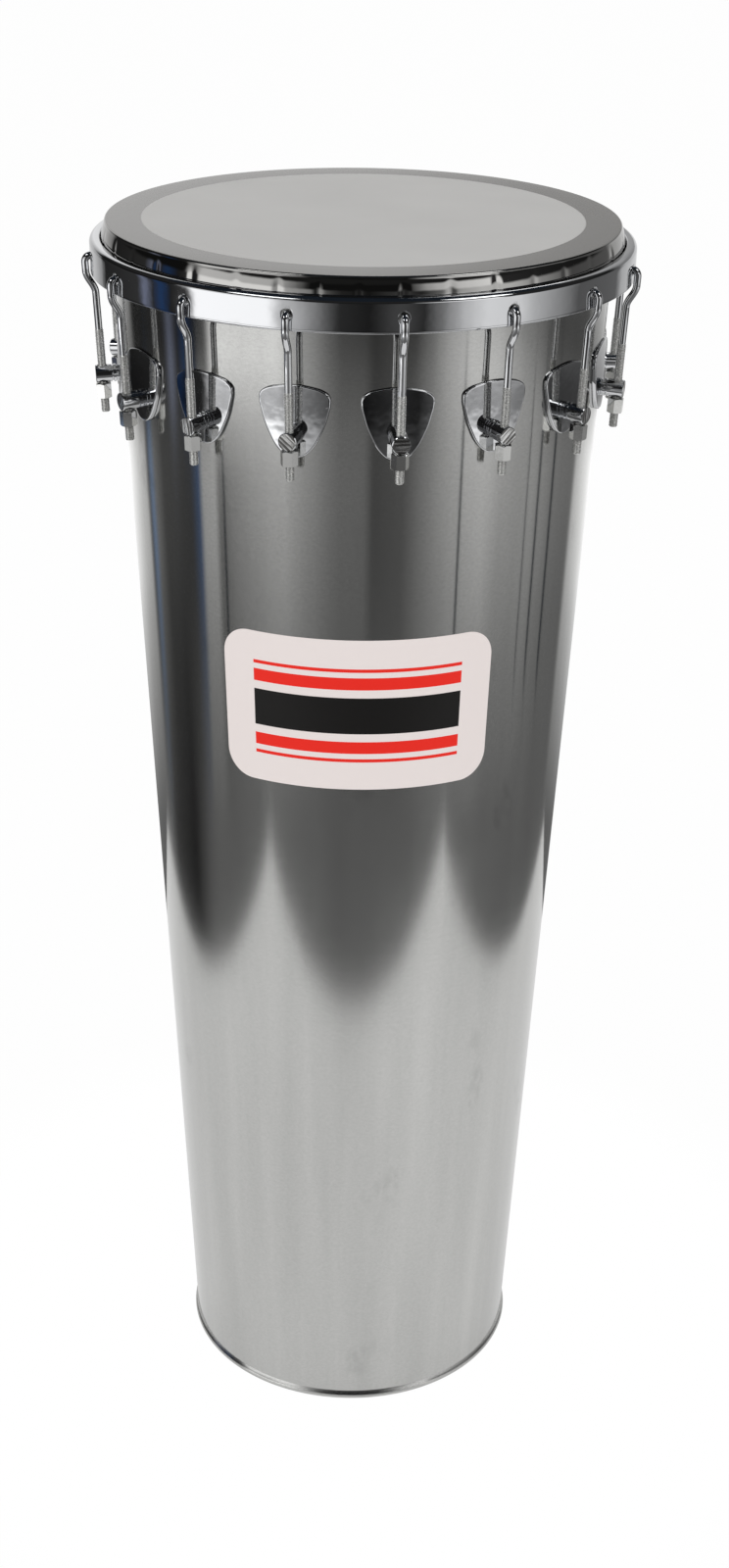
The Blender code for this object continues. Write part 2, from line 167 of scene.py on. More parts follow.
class TimbalHooks(PropertyGroup):
    wire_radius: length("Wire", 0.0025, "Radius of the plain wire")
    thread_radius: length("Thread", 0.0030, "Radius over the thread's crests")
    thread_depth: length("Thread depth", 0.0006, "Depth of the thread")
    pitch: length("Pitch", 0.0010, "Rise of one turn of the thread")
    end_z: length("Rod end", -0.0268, "End of the rod, along the rod from its post")
    thread_top: length("Thread top", 0.0312, "Upper end of the thread")
    neck_start: length("Neck start", 0.0560, "Where the swan neck begins")
    neck_end: length("Neck end", 0.0710, "Where the swan neck ends")
    neck_offset: length("Neck offset", 0.0055, "How far the neck steps outwards")
    claw_radius: length("Claw", 0.00425, "Radius of the claw's bend")
    claw_z: length("Claw height", 0.0772, "Height of the middle of the claw's bend")
    tip_z: length("Claw tip", 0.0728, "Height of the claw's tip")


class TimbalNuts(PropertyGroup):
    across_flats: length("Across flats", 0.0100, "Width of the hexagon")
    height: length("Height", 0.0107, "Height of the nut")
    chamfer: length("Chamfer", 0.0007, "Size of the turned chamfers")
    bore: length("Bore", 0.0031, "Radius of the bore")
    gap: length("Gap", 0.0003, "Left between the nut and the post")


class TimbalLugs(PropertyGroup):
    crown: length("Crown", 0.20, "Radius of the plate's curved front")
    upright: amount("Upright", 0.8, "How far the front is set upright: 1 is all")
    upright_z: length("Upright height", 0.020, "Height on the plate that stays where it is when set upright")
    front_x: length("Front", -0.0114, "Front of the plate from the rod's axis")
    back_x: length("Back", -0.0180, "Back of the plate before the wall's curve is cut")
    bevel: length("Bevel", 0.0009, "Rounding of the plate's front edge")
    top: length("Top", 0.0320, "Top of the shield")
    bottom: length("Bottom", -0.0152, "Lowest point of the shield")
    wall_gap: length("Wall gap", 0.0003, "Left between the plate and the shell")
    post_radius: length("Post", 0.0060, "Radius of the post")
    post_end: length("Post end", 0.0048, "Cut end of the post")
    post_bore: length("Post bore", 0.0034, "Radius of the cross hole for the rod")
    groove_width: length("Groove width", 0.0013, "Width of a turned groove")
    groove_depth: length("Groove depth", 0.0008, "Depth of a turned groove")
    screw_radius: length("Screw", 0.0030, "Radius of the screw behind the plate")
    washer_radius: length("Washer", 0.0075, "Radius of the washer inside the shell")
    washer_x: length("Washer face", -0.0157, "Outer face of the washer")
    washer_thickness: length("Washer thickness", 0.0012, "Thickness of the washer")
    head_corner: length("Screw head", 0.0050, "Half the width of the screw's head across corners")
    head_height: length("Head height", 0.0034, "Height of the screw's head")


class TimbalLabel(PropertyGroup):
    width: length("Width", 0.190, "Width of the label round the shell")
    height: length("Height", 0.112, "Height of the label")
    corner: length("Corner", 0.020, "Radius of the label's corners")
    middle_z: length("Middle", 0.6090, "Height of the middle of the label")
    thickness: length("Thickness", 0.00015, "Thickness of the vinyl")
    reach: length("Bands", 0.072, "Half the length of the printed bands")


class TimbalFinishes(PropertyGroup):
    aluminium: colour("Aluminium", "#C6C6C4", "Polished aluminium sheet")
    chrome: colour("Chrome", "#D5D6D8", "Bright chrome plate")
    nickel: colour("Nickel", "#D8D8D6", "Nickel plate of the nuts")
    coat: colour("Coating", "#BAB9B7", "White coating sprayed on the film")
    # Painted shade: the margin colour stands for the dark inside of the drum seen through clear film
    margin: colour("Margin", "#6C6A67", "Clear film over the dark inside of the drum")
    vinyl: colour("Label ground", "#F8EEEB", "White vinyl")
    red: colour("Label red", "#FB2412", "Red print")
    black: colour("Label black", "#151312", "Black print")


class TimbalStudio(PropertyGroup):
    camera_back: length("Camera back", 1.5596, "Distance of the camera in front of the drum's axis")
    camera_height: length("Camera height", 1.2322, "Height of the camera")
    pitch: angle("Pitch", 0.44762, "Camera's tilt below the horizon")
    yaw: angle("Yaw", 0.00406, "Camera's turn towards +X")
    roll: angle("Roll", 0.01477, "Camera's roll")
    lens: amount("Lens", 52.319, "Focal length for a 36 mm sensor", subtype="DISTANCE_CAMERA")
    sheet_depth: length("Sheet depth", 0.655, "Half the depth of the pale sheet that the drum stands on")
    sheet_width: length("Sheet width", 0.69, "Half the width of the pale sheet that the drum stands on")
    sheet_shift: length("Sheet shift", 0.01, "How far the pale sheet lies to the right of the drum")
    gap_start: length("Gap start", 1.35, "How far off the dark gaps in the floor cloth begin")
    wall_radius: length("Walls", 2.4, "Distance of the screens round the drum")
    wall_height: length("Wall height", 3.2, "Height of the screens and the dark ceiling")
    level: amount("Level", 0.72, "Brightness of the sky for matt surfaces")


GROUPS = {
    "timbal_shell": TimbalShell, "timbal_head": TimbalHead, "timbal_rim": TimbalRim,
    "timbal_stations": TimbalStations, "timbal_hooks": TimbalHooks, "timbal_nuts": TimbalNuts,
    "timbal_lugs": TimbalLugs, "timbal_label": TimbalLabel, "timbal_finishes": TimbalFinishes,
    "timbal_studio": TimbalStudio,
}


# Small tools


def arc(centre, radius, start, end, steps):
    """Points along an arc, both ends included, with angles in degrees."""
    turns = [math.radians(degrees) for degrees in spaced(start, end, steps)]
    return [(centre[0] + radius * math.cos(turn), centre[1] + radius * math.sin(turn)) for turn in turns]


def spaced(start, end, steps):
    """Evenly spaced values, both ends included."""
    return [start + (end - start) * i / steps for i in range(steps + 1)]


def wall_radius(shell, z):
    """Outer radius of the shell's wall at a height."""
    return shell.reference_radius + shell.taper * (z - shell.reference_z)


def lean(shell):
    """Angle of the shell's wall from upright."""
    return math.atan(shell.taper)


def link_object(name, data):
    """An object for some data, in the scene."""
    thing = bpy.data.objects.new(name, data)
    bpy.context.scene.collection.objects.link(thing)
    return thing


def plain_mesh(name, points, edges, faces=()):
    """A mesh from its points, edges and faces."""
    mesh = bpy.data.meshes.new(name)
    mesh.from_pydata(points, edges, faces)
    return mesh


def mesh_from(work, name):
    """A new mesh from an edited one that is done with."""
    mesh = bpy.data.meshes.new(name)
    work.to_mesh(mesh)
    work.free()
    return mesh


def settled(thing, name, tools=()):
    """The mesh of an object with its modifiers applied. The object and its tools are taken away."""
    graph = bpy.context.evaluated_depsgraph_get()
    graph.update()
    mesh = bpy.data.meshes.new_from_object(thing.evaluated_get(graph))
    mesh.name = name
    for used in (thing, *tools):
        bpy.data.objects.remove(used, do_unlink=True)
    return mesh


def with_booleans(mesh, name, cuts):
    """A mesh with other meshes cut out of it or kept in common, as (operation, mesh) pairs."""
    thing = link_object(name + "_blank", mesh)
    tools = []
    for operation, other in cuts:
        boolean = thing.modifiers.new(operation, "BOOLEAN")
        boolean.operation = operation
        boolean.solver = "EXACT"
        boolean.object = link_object(name + "_tool", other)
        tools.append(boolean.object)
    return settled(thing, name, tools)


def welded(mesh):
    """A mesh with its doubles merged and its faces pointing outwards."""
    work = bmesh.new()
    work.from_mesh(mesh)
    bmesh.ops.remove_doubles(work, verts=work.verts, dist=1e-7)
    bmesh.ops.recalc_face_normals(work, faces=work.faces)
    work.to_mesh(mesh)
    work.free()
    return mesh


def rod(name, radius, low, high, sides, placed=Matrix(), upper=None):
    """A capped cylinder along Z, or a cone where it has another radius above."""
    work = bmesh.new()
    middle = Matrix.Translation((0.0, 0.0, (low + high) / 2))
    bmesh.ops.create_cone(work, cap_ends=True, segments=sides, radius1=radius, radius2=upper or radius,
                          depth=high - low, matrix=placed @ middle)
    return mesh_from(work, name)


def lay_flat(mesh, name, places):
    """Flat coordinates for a pattern, from one place for each vertex."""
    layer = mesh.uv_layers.new(name=name)
    for loop in mesh.loops:
        layer.uv[loop.index].vector = places[loop.vertex_index]


def mark_faces(mesh, name, test):
    """Marks the faces whose middle passes a test, so that their copies can be found."""
    marks = mesh.attributes.new(name, "INT", "FACE").data
    for face in mesh.polygons:
        marks[face.index].value = int(test(face.center))


def marked(mesh, name):
    """A test of whether a face of a mesh bears a mark."""
    marks = mesh.attributes[name].data
    return lambda face: marks[face.index].value


def paint_where(mesh, material, test):
    """Gives the faces that pass a test a material of their own."""
    mesh.materials.append(material)
    mesh.polygons.foreach_set("material_index", [int(bool(test(face))) for face in mesh.polygons])


def show_piece(name, mesh, body, nodes):
    """Puts a finished mesh on its body in place of the CAD nodes that it stands for."""
    piece = link_object(name, mesh)
    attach(piece, body)
    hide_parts(*nodes)


# Nodes

MATH, VECTOR, RANGE, MIX = "ShaderNodeMath", "ShaderNodeVectorMath", "ShaderNodeMapRange", "ShaderNodeMix"
SPLIT, JOIN, TURN = "ShaderNodeSeparateXYZ", "ShaderNodeCombineXYZ", "ShaderNodeVectorRotate"
NOISE, BUMP, EMISSION = "ShaderNodeTexNoise", "ShaderNodeBump", "ShaderNodeEmission"
POSITION, INDEX, PLACE = "GeometryNodeInputPosition", "GeometryNodeInputIndex", "GeometryNodeSetPosition"
REALIZE, MERGE, FLIP = "GeometryNodeRealizeInstances", "GeometryNodeMergeByDistance", "GeometryNodeFlipFaces"
COPIES, SHADE = "GeometryNodeInstanceOnPoints", "GeometryNodeSetShadeSmooth"


def add_node(tree, kind, inputs=(), out=0, **settings):
    """Adds a node with its settings. Its inputs, in order or by name, are sockets to link or values."""
    made = tree.nodes.new(kind)
    for key, value in settings.items():
        setattr(made, key, value)
    for key, value in inputs.items() if isinstance(inputs, dict) else enumerate(inputs):
        if isinstance(value, bpy.types.NodeSocket):
            tree.links.new(value, made.inputs[key])
        elif value is not None:
            made.inputs[key].default_value = value
    return made.outputs[out]


def feed(tree, node, **sockets):
    """Links sockets to the inputs of those names."""
    for key, socket in sockets.items():
        tree.links.new(socket, node.inputs[key.replace("_", " ")])


def new_tree(name, **sockets):
    """A Geometry Nodes tree with a geometry, its named sizes and a material as inputs."""
    tree = bpy.data.node_groups.new(name, "GeometryNodeTree")
    for label, kind in {"Geometry": "Geometry", **sockets, "Material": "Material"}.items():
        tree.interface.new_socket(label.replace("_", " "), in_out="INPUT", socket_type="NodeSocket" + kind)
    tree.interface.new_socket("Geometry", in_out="OUTPUT", socket_type="NodeSocketGeometry")
    return tree, tree.nodes.new("NodeGroupInput").outputs


def finish_tree(tree, given, geometry):
    """Ends a tree: real geometry, smooth faces with sharp corners, and its material."""
    real = add_node(tree, REALIZE, [geometry])
    smooth = add_node(tree, SHADE, [real])
    corner = add_node(tree, "GeometryNodeInputMeshEdgeAngle")
    sharp = add_node(tree, "FunctionNodeCompare", {"A": corner, "B": SHARP},
                     data_type="FLOAT", operation="GREATER_THAN")
    edged = add_node(tree, SHADE, [smooth, sharp, False], domain="EDGE")
    painted = add_node(tree, "GeometryNodeSetMaterial", [edged, None, given["Material"]])
    tree.links.new(painted, tree.nodes.new("NodeGroupOutput").inputs[0])
    return tree


def run_tree(maker, data, name, material, **values):
    """Runs a Geometry Nodes tree, made once, on some data and gives back the plain mesh."""
    tree = bpy.data.node_groups.get(maker.__name__) or maker()
    carrier = link_object(name + "_carrier", data)
    modifier = carrier.modifiers.new(tree.name, "NODES")
    modifier.node_group = tree
    named = {item.name: item.identifier for item in tree.interface.items_tree if item.in_out == "INPUT"}
    for key, value in {**values, "Material": material}.items():
        modifier[named[key.replace("_", " ")]] = value
    mesh = settled(carrier, name)
    mesh.materials.clear()
    mesh.materials.append(material)
    return mesh


def turned_tree():
    """Turns a profile's points in the XZ plane round the Z axis, and may give its wall shallow waves."""
    tree, given = new_tree("turned_tree", Steps="Int", Wave_height="Float", Wave_width="Float",
                           Wave_floor="Float", Wave_ceiling="Float")
    profile, steps = given["Geometry"], given["Steps"]
    rows = add_node(tree, "GeometryNodeAttributeDomainSize", [profile])
    columns = add_node(tree, MATH, [steps, 1.0], operation="ADD")
    grid = add_node(tree, "GeometryNodeMeshGrid", [None, None, columns, rows])
    index = add_node(tree, INDEX)
    row = add_node(tree, MATH, [index, rows], operation="MODULO")
    passed = add_node(tree, MATH, [index, rows], operation="DIVIDE")
    column = add_node(tree, MATH, [passed], operation="FLOOR")
    point = add_node(tree, "GeometryNodeSampleIndex",
                     {"Geometry": profile, "Value": add_node(tree, POSITION), "Index": row},
                     data_type="FLOAT_VECTOR", domain="POINT")
    turn = add_node(tree, MATH, [column, FULL_TURN], operation="MULTIPLY")
    around = add_node(tree, MATH, [turn, steps], operation="DIVIDE")
    turned = add_node(tree, TURN, {"Vector": point, "Angle": around}, rotation_type="Z_AXIS")

    # Shallow upright waves, which the rolls leave in a sheet, fade out towards both edges of the wall
    drawn_upright, fade, detail = (1.0, 1.0, 0.12), 0.03, 2.4
    height = add_node(tree, SPLIT, [turned], "Z")
    flat = add_node(tree, VECTOR, [turned, drawn_upright], operation="MULTIPLY")
    rate = add_node(tree, MATH, [1.0, given["Wave width"]], operation="DIVIDE")
    waved = add_node(tree, VECTOR, {0: flat, "Scale": rate}, operation="SCALE")
    noise = add_node(tree, NOISE, {"Vector": waved, "Scale": 1.0, "Detail": detail})
    centred = add_node(tree, MATH, [noise, 0.5], operation="SUBTRACT")
    push = add_node(tree, MATH, [centred, given["Wave height"]], operation="MULTIPLY")
    for edge, way in (("Wave floor", fade), ("Wave ceiling", -fade)):
        full = add_node(tree, MATH, [given[edge], way], operation="ADD")
        share = add_node(tree, RANGE, [height, given[edge], full], interpolation_type="SMOOTHSTEP")
        push = add_node(tree, MATH, [push, share], operation="MULTIPLY")
    radial = add_node(tree, TURN, {"Vector": (1.0, 0.0, 0.0), "Angle": around}, rotation_type="Z_AXIS")
    offset = add_node(tree, VECTOR, {0: radial, "Scale": push}, operation="SCALE")
    placed = add_node(tree, PLACE, [grid, None, turned, offset])
    merged = add_node(tree, MERGE, [placed, None, 1e-6])
    return finish_tree(tree, given, add_node(tree, FLIP, [merged]))


def station_angle(tree, given, count):
    """Angle of a station by its number, round from the first."""
    step = add_node(tree, MATH, [FULL_TURN, given["Stations"]], operation="DIVIDE")
    return add_node(tree, MATH, [count, step, given["First angle"]], operation="MULTIPLY_ADD")


def bent_tree():
    """Bends a straight strip round the drum and repeats it at every station."""
    tree, given = new_tree("bent_tree", Radius="Float", Stations="Int", First_angle="Float")
    x, y, z = add_node(tree, SPLIT, [add_node(tree, POSITION)]).node.outputs
    around = add_node(tree, MATH, [x, given["Radius"]], operation="DIVIDE")
    upright = add_node(tree, JOIN, [y, None, z])
    bent = add_node(tree, TURN, {"Vector": upright, "Angle": around}, rotation_type="Z_AXIS")
    sector = add_node(tree, PLACE, [given["Geometry"], None, bent])
    points = add_node(tree, "GeometryNodePoints", [given["Stations"]])
    about = add_node(tree, JOIN, [None, None, station_angle(tree, given, add_node(tree, INDEX))])
    copies = add_node(tree, COPIES, {"Points": points, "Instance": sector, "Rotation": about})
    merged = add_node(tree, MERGE, [add_node(tree, REALIZE, [copies]), None, SAME_PLACE])
    return finish_tree(tree, given, add_node(tree, FLIP, [merged]))


def station_tree():
    """Puts copies of a piece, modelled in a station's own frame, at stations round the drum."""
    tree, given = new_tree("station_tree", Count="Int", Start="Int", Stations="Int", First_angle="Float",
                           Radius="Float", Height="Float", Lean="Float")
    points = add_node(tree, "GeometryNodePoints", [given["Count"]])
    count = add_node(tree, MATH, [add_node(tree, INDEX), given["Start"]], operation="ADD")
    turn = station_angle(tree, given, count)
    middle = add_node(tree, JOIN, [given["Radius"], None, given["Height"]])
    turned = add_node(tree, TURN, {"Vector": middle, "Angle": turn}, rotation_type="Z_AXIS")
    placed = add_node(tree, PLACE, [points, None, turned])
    about = add_node(tree, JOIN, [None, given["Lean"], turn])
    copies = add_node(tree, COPIES, {"Points": placed, "Instance": given["Geometry"], "Rotation": about})
    return finish_tree(tree, given, copies)


def hook_tree():
    """Draws wire along a curve and cuts a helical thread in its straight part."""
    tree, given = new_tree("hook_tree", Sides="Int", Wire_radius="Float", Thread_radius="Float",
                           Thread_depth="Float", Pitch="Float", Thread_top="Float", Rod_end="Float")
    thin, depth, pitch, top = (given[name] for name in ("Wire radius", "Thread depth", "Pitch", "Thread top"))
    section = add_node(tree, "GeometryNodeCurvePrimitiveCircle",
                       {"Resolution": given["Sides"], "Radius": 1.0})
    wire = add_node(tree, "GeometryNodeCurveToMesh", [given["Geometry"], section, thin, True])
    place = add_node(tree, POSITION)
    x, y, z = add_node(tree, SPLIT, [place]).node.outputs
    around = add_node(tree, MATH, [y, x], operation="ARCTAN2")
    part_turn = add_node(tree, MATH, [around, FULL_TURN], operation="DIVIDE")
    turns = add_node(tree, MATH, [z, pitch], operation="DIVIDE")
    phase = add_node(tree, MATH, [turns, part_turn], operation="SUBTRACT")
    ridge = add_node(tree, MATH, [phase, 0.5], operation="PINGPONG")
    root_share, crest_share = 0.03, 0.44     # of a half turn, so that roots and crests are a little flat
    crest = add_node(tree, RANGE, [ridge, root_share, crest_share])
    root = add_node(tree, MATH, [given["Thread radius"], depth], operation="SUBTRACT")
    cut = add_node(tree, MATH, [crest, depth, root], operation="MULTIPLY_ADD")

    # The thread runs out over one turn above, and its end is chamfered
    left = add_node(tree, MATH, [top, z], operation="SUBTRACT")
    fade = add_node(tree, RANGE, [left, 0.0, pitch])
    from_end = add_node(tree, MATH, [z, given["Rod end"]], operation="SUBTRACT")
    lowest = add_node(tree, MATH, [root, from_end], operation="ADD")
    chamfered = add_node(tree, MATH, [cut, lowest], operation="MINIMUM")
    radius = add_node(tree, MIX, {"Factor": fade, "A": thin, "B": chamfered}, data_type="FLOAT")
    ratio = add_node(tree, MATH, [radius, thin], operation="DIVIDE")
    wide = add_node(tree, JOIN, [ratio, ratio, 1.0])
    scaled = add_node(tree, VECTOR, [place, wide], operation="MULTIPLY")
    threaded = add_node(tree, "FunctionNodeCompare", {"A": z, "B": top},
                        data_type="FLOAT", operation="LESS_THAN")
    screwed = add_node(tree, PLACE, [wire, threaded, scaled])
    return finish_tree(tree, given, add_node(tree, MERGE, [screwed, None, 1e-6]))


# Finishes


def new_material(name, flat=None, **values):
    """A material with its shader set on its own sockets, and the object's coordinates or flat ones."""
    material = bpy.data.materials.new(name)
    material.use_nodes = True
    tree = material.node_tree
    shader = tree.nodes["Principled BSDF"]
    for key, value in values.items():
        shader.inputs[key.replace("_", " ")].default_value = value
    if flat:
        return material, tree, shader, add_node(tree, "ShaderNodeUVMap", uv_map=flat)
    return material, tree, shader, add_node(tree, "ShaderNodeTexCoord", out="Object")


def stretched_noise(tree, place, grains, detail=2.0):
    """Noise with about so many grains for each metre, the same all ways or along each axis."""
    scale = grains if isinstance(grains, tuple) else (grains, grains, grains)
    mapped = add_node(tree, "ShaderNodeMapping", {"Vector": place, "Scale": scale})
    return add_node(tree, NOISE, {"Vector": mapped, "Scale": 1.0, "Detail": detail})


def toned(tone, factor):
    """A colour made darker or lighter."""
    return [value * factor for value in tone[:3]] + [1.0]


def follow_marks(tree, shader, marks, rough, relief=0.0, tones=(), spread=(0.0, 1.0)):
    """Lets one pattern of marks set a surface's roughness, its relief and a tone between two."""
    feed(tree, shader, Roughness=add_node(tree, RANGE, [marks, 0.3, 0.7, *rough]))
    if relief:
        bump = add_node(tree, BUMP, {"Strength": 1.0, "Distance": relief, "Height": marks})
        feed(tree, shader, Normal=bump)
    if tones:
        share = add_node(tree, RANGE, [marks, *spread])
        first, last = (linear(code) for code in tones)
        tone = add_node(tree, MIX, {"Factor": share, "A": first, "B": last}, "Result", data_type="RGBA")
        feed(tree, shader, Base_Color=tone)


def marked_metal(name, grains, detail, rough, relief=0.0, tones=(), spread=(0.0, 1.0), **values):
    """A metal whose tone, roughness and relief all follow one pattern of marks."""
    material, tree, shader, place = new_material(name, **{"Metallic": 1.0, **values})
    follow_marks(tree, shader, stretched_noise(tree, place, grains, detail), rough, relief, tones, spread)
    return material


def polished_brushed_aluminium(finishes):
    """Aluminium sheet polished on a wheel while it turned: fine scratches run round the shell and
    draw its reflections out up and down, rolling has left soft upright streaks and handling faint
    clouds and a few grey smudges. The seam at the back is welded and ground flush, and the rolled
    foot is duller. The scratches are drawn coarser than real ones, to show."""
    material, tree, shader, place = new_material(
        "aluminium_sheet_wheel_polished", Metallic=1.0, Anisotropic=0.95, Anisotropic_Rotation=0.25)
    lines = stretched_noise(tree, place, (5.0, 5.0, 900.0), 3.0)
    clouds = stretched_noise(tree, place, (11.0, 11.0, 7.0), 3.0)
    streaks = stretched_noise(tree, place, (38.0, 38.0, 2.0), 4.0)
    fine = stretched_noise(tree, place, (420.0, 420.0, 700.0), 3.0)
    upright = add_node(tree, RANGE, [streaks, 0.3, 0.7, 0.0, 0.60])
    spots = add_node(tree, RANGE, [fine, 0.3, 0.7, 0.0, 0.40])
    wear = add_node(tree, MATH, [upright, spots], operation="ADD")
    dark, pale, grey = (toned(finishes.aluminium, factor) for factor in (0.88, 1.09, 0.80))
    tone = add_node(tree, MIX, {"Factor": wear, "A": dark, "B": pale}, "Result", data_type="RGBA")
    patches = add_node(tree, RANGE, [stretched_noise(tree, place, (24.0, 24.0, 15.0), 1.0), 0.66, 0.74])
    specks = add_node(tree, RANGE, [stretched_noise(tree, place, (160.0, 160.0, 90.0)), 0.40, 0.62])
    smudges = add_node(tree, MATH, [patches, specks], operation="MULTIPLY")
    smudged = add_node(tree, MATH, [smudges, 0.6], operation="MULTIPLY")
    handled = add_node(tree, MIX, {"Factor": smudged, "A": tone, "B": grey}, "Result", data_type="RGBA")

    x, y, z = add_node(tree, SPLIT, [place]).node.outputs
    off_seam = add_node(tree, MATH, [x], operation="ABSOLUTE")
    seam = add_node(tree, RANGE, [off_seam, 0.0008, 0.0022, 0.16, 0.0])
    behind = add_node(tree, MATH, [y, 0.0], operation="GREATER_THAN")
    rough = add_node(tree, RANGE, [lines, 0.3, 0.7, 0.090, 0.099])
    for more in (
        add_node(tree, RANGE, [clouds, 0.45, 0.80, 0.0, 0.035]),
        add_node(tree, MATH, [seam, behind], operation="MULTIPLY"),
        add_node(tree, RANGE, [z, 0.0065, 0.0080, 0.13, 0.0]),
    ):
        rough = add_node(tree, MATH, [rough, more], operation="ADD")
    feed(tree, shader, Base_Color=handled, Roughness=rough,
         Tangent=add_node(tree, "ShaderNodeTangent", direction_type="RADIAL", axis="Z"),
         Normal=add_node(tree, BUMP, {"Strength": 1.0, "Distance": 0.000001, "Height": lines}))
    return material


def mill_finish_aluminium():
    """The inside of the shell is left as it came from the mill: dull, with long rolling lines."""
    return marked_metal("aluminium_sheet_mill_finish", (40.0, 40.0, 260.0), 4.0, (0.34, 0.48), 0.00002,
                        ("#A9A9A7", "#BFBFBD"))


def bright_chrome(finishes):
    """Chrome plate over buffed steel: a clear mirror, a little uneven from the buffing."""
    material, tree, shader, place = new_material(
        "steel_chrome_plated_buffed", Metallic=1.0, Base_Color=finishes.chrome[:])
    waves = stretched_noise(tree, place, 75.0)
    haze = stretched_noise(tree, place, 150.0, 4.0)
    feed(tree, shader, Roughness=add_node(tree, RANGE, [haze, 0.35, 0.75, 0.03, 0.08]),
         Normal=add_node(tree, BUMP, {"Strength": 1.0, "Distance": 0.00009, "Height": waves}))
    return material


def machined_plate(finishes):
    """Nickel plate over a machined hexagon: nearly a mirror, with faint cutter's marks on the flats."""
    return marked_metal("steel_nickel_plated_machined", (400.0, 400.0, 2600.0), 3.0, (0.05, 0.12), 0.000004,
                        Base_Color=finishes.nickel[:])


def rolled_thread():
    """Zinc plate over a rolled thread: pale and soft beside the bright rod, since its flanks are rough."""
    return marked_metal("steel_thread_rolled_zinc_plated", 900.0, 3.0, (0.16, 0.30), 0.00002,
                        ("#D2D2D0", "#ECECEA"), (0.35, 0.65), Metallic=0.72)


def sawn_end():
    """Plated over a sawn end: straight slanting saw marks, a millimetre or two apart, catch the light.
    The marks are real in the relief and roughness; the light they catch and the shade between them are
    also painted into the colour as pale and dark stripes.
    """
    material, tree, shader, place = new_material("steel_sawn_end_plated", "end", Metallic=1.0)
    slanted = add_node(tree, "ShaderNodeMapping", {
        "Vector": place, "Rotation": (0.0, 0.0, math.radians(-38)), "Scale": (45.0, 620.0, 1.0),
    })
    marks = add_node(tree, NOISE, {"Vector": slanted, "Scale": 1.0, "Detail": 2.0})
    # Painted highlight and painted shade: the pale and dark tones of the stripes; the relief and roughness
    # are the real marks
    follow_marks(tree, shader, marks, (0.30, 0.16), 0.00022, ("#6E6D6B", "#F0F0EF"), (0.44, 0.56))
    return material


def from_axis(tree, place):
    """Distance from the drum's axis."""
    level = add_node(tree, VECTOR, [place, (1.0, 1.0, 0.0)], operation="MULTIPLY")
    return add_node(tree, VECTOR, [level], "Value", operation="LENGTH")


def coated_film(finishes, coat_radius):
    """Polyester film: the middle is sprayed with a matt white coat that shows a faint orange peel,
    and the margin is clear film, smooth, whose grey is painted shade: the dark inside of the drum seen
    through it."""
    material, tree, shader, place = new_material("polyester_film_sprayed_coat", IOR=1.57)
    soft = 0.0004     # half the width over which the coat ends
    margin = add_node(tree, RANGE, [from_axis(tree, place), coat_radius - soft, coat_radius + soft])
    clouds = add_node(tree, RANGE, [stretched_noise(tree, place, 16.0, 3.0), 0.3, 0.7])
    thin, full = toned(finishes.coat, 0.955), finishes.coat[:]
    coat = add_node(tree, MIX, {"Factor": clouds, "A": thin, "B": full}, "Result", data_type="RGBA")
    # Painted shade: the margin's grey stands for the dark inside of the drum seen through the clear film
    shade_through_film = finishes.margin[:]
    tone = add_node(tree, MIX, {"Factor": margin, "A": coat, "B": shade_through_film}, "Result", data_type="RGBA")
    coated = add_node(tree, MATH, [1.0, margin], operation="SUBTRACT")
    peel = add_node(tree, MATH, [stretched_noise(tree, place, 700.0), coated], operation="MULTIPLY")
    feed(tree, shader, Base_Color=tone, Roughness=add_node(tree, RANGE, [margin, 0.0, 1.0, 0.62, 0.24]),
         Normal=add_node(tree, BUMP, {"Strength": 1.0, "Distance": 0.00003, "Height": peel}))
    return material


def collar_film():
    """Clear film drawn tight over the polished edge: the two together look like one dark mirror."""
    return marked_metal("polyester_film_clear_over_polished_edge", 60.0, 2.0, (0.02, 0.06), 0.0001,
                        Base_Color=linear("#B4B3B1"))


def rolled_aluminium():
    """Extruded and rolled aluminium, unpolished: soft grey with lines along the section."""
    return marked_metal("aluminium_channel_rolled", (12.0, 12.0, 1800.0), 2.0, (0.30, 0.45), 0.00003,
                        ("#B4B4B2", "#C9C9C7"))


def drawn_wire():
    """Bare drawn steel wire: dark grey with long drawing marks."""
    return marked_metal("steel_wire_drawn", (30.0, 30.0, 3000.0), 2.0, (0.35, 0.50),
                        tones=("#7E7D7A", "#A3A29E"))


def printed_vinyl(finishes, reach):
    """Screen-printed vinyl: a white ground with plain red and black bands, under a clear gloss."""
    material, tree, shader, place = new_material(
        "vinyl_screen_printed", Roughness=0.42, Specular_IOR_Level=0.30,
        Coat_Weight=0.10, Coat_Roughness=0.14)
    x, y = add_node(tree, SPLIT, [add_node(tree, "ShaderNodeUVMap", uv_map="flat")]).node.outputs[:2]
    across, up = (add_node(tree, MATH, [side], operation="ABSOLUTE") for side in (x, y))
    within = add_node(tree, MATH, [across, reach], operation="LESS_THAN")
    tone = finishes.vinyl[:]
    for low, high, ink in (     # heights above and below the middle
        (-1.0, 0.0135, finishes.black[:]),
        (0.0195, 0.0285, finishes.red[:]),
        (0.0325, 0.0350, finishes.red[:]),
    ):
        over = add_node(tree, MATH, [up, low], operation="GREATER_THAN")
        under = add_node(tree, MATH, [up, high], operation="LESS_THAN")
        band = add_node(tree, MATH, [over, under], operation="MULTIPLY")
        here = add_node(tree, MATH, [band, within], operation="MULTIPLY")
        tone = add_node(tree, MIX, {"Factor": here, "A": tone, "B": ink}, "Result", data_type="RGBA")
    grain = stretched_noise(tree, place, 900.0)
    feed(tree, shader, Base_Color=tone,
         Normal=add_node(tree, BUMP, {"Strength": 1.0, "Distance": 0.00002, "Height": grain}))
    return material


# Pieces


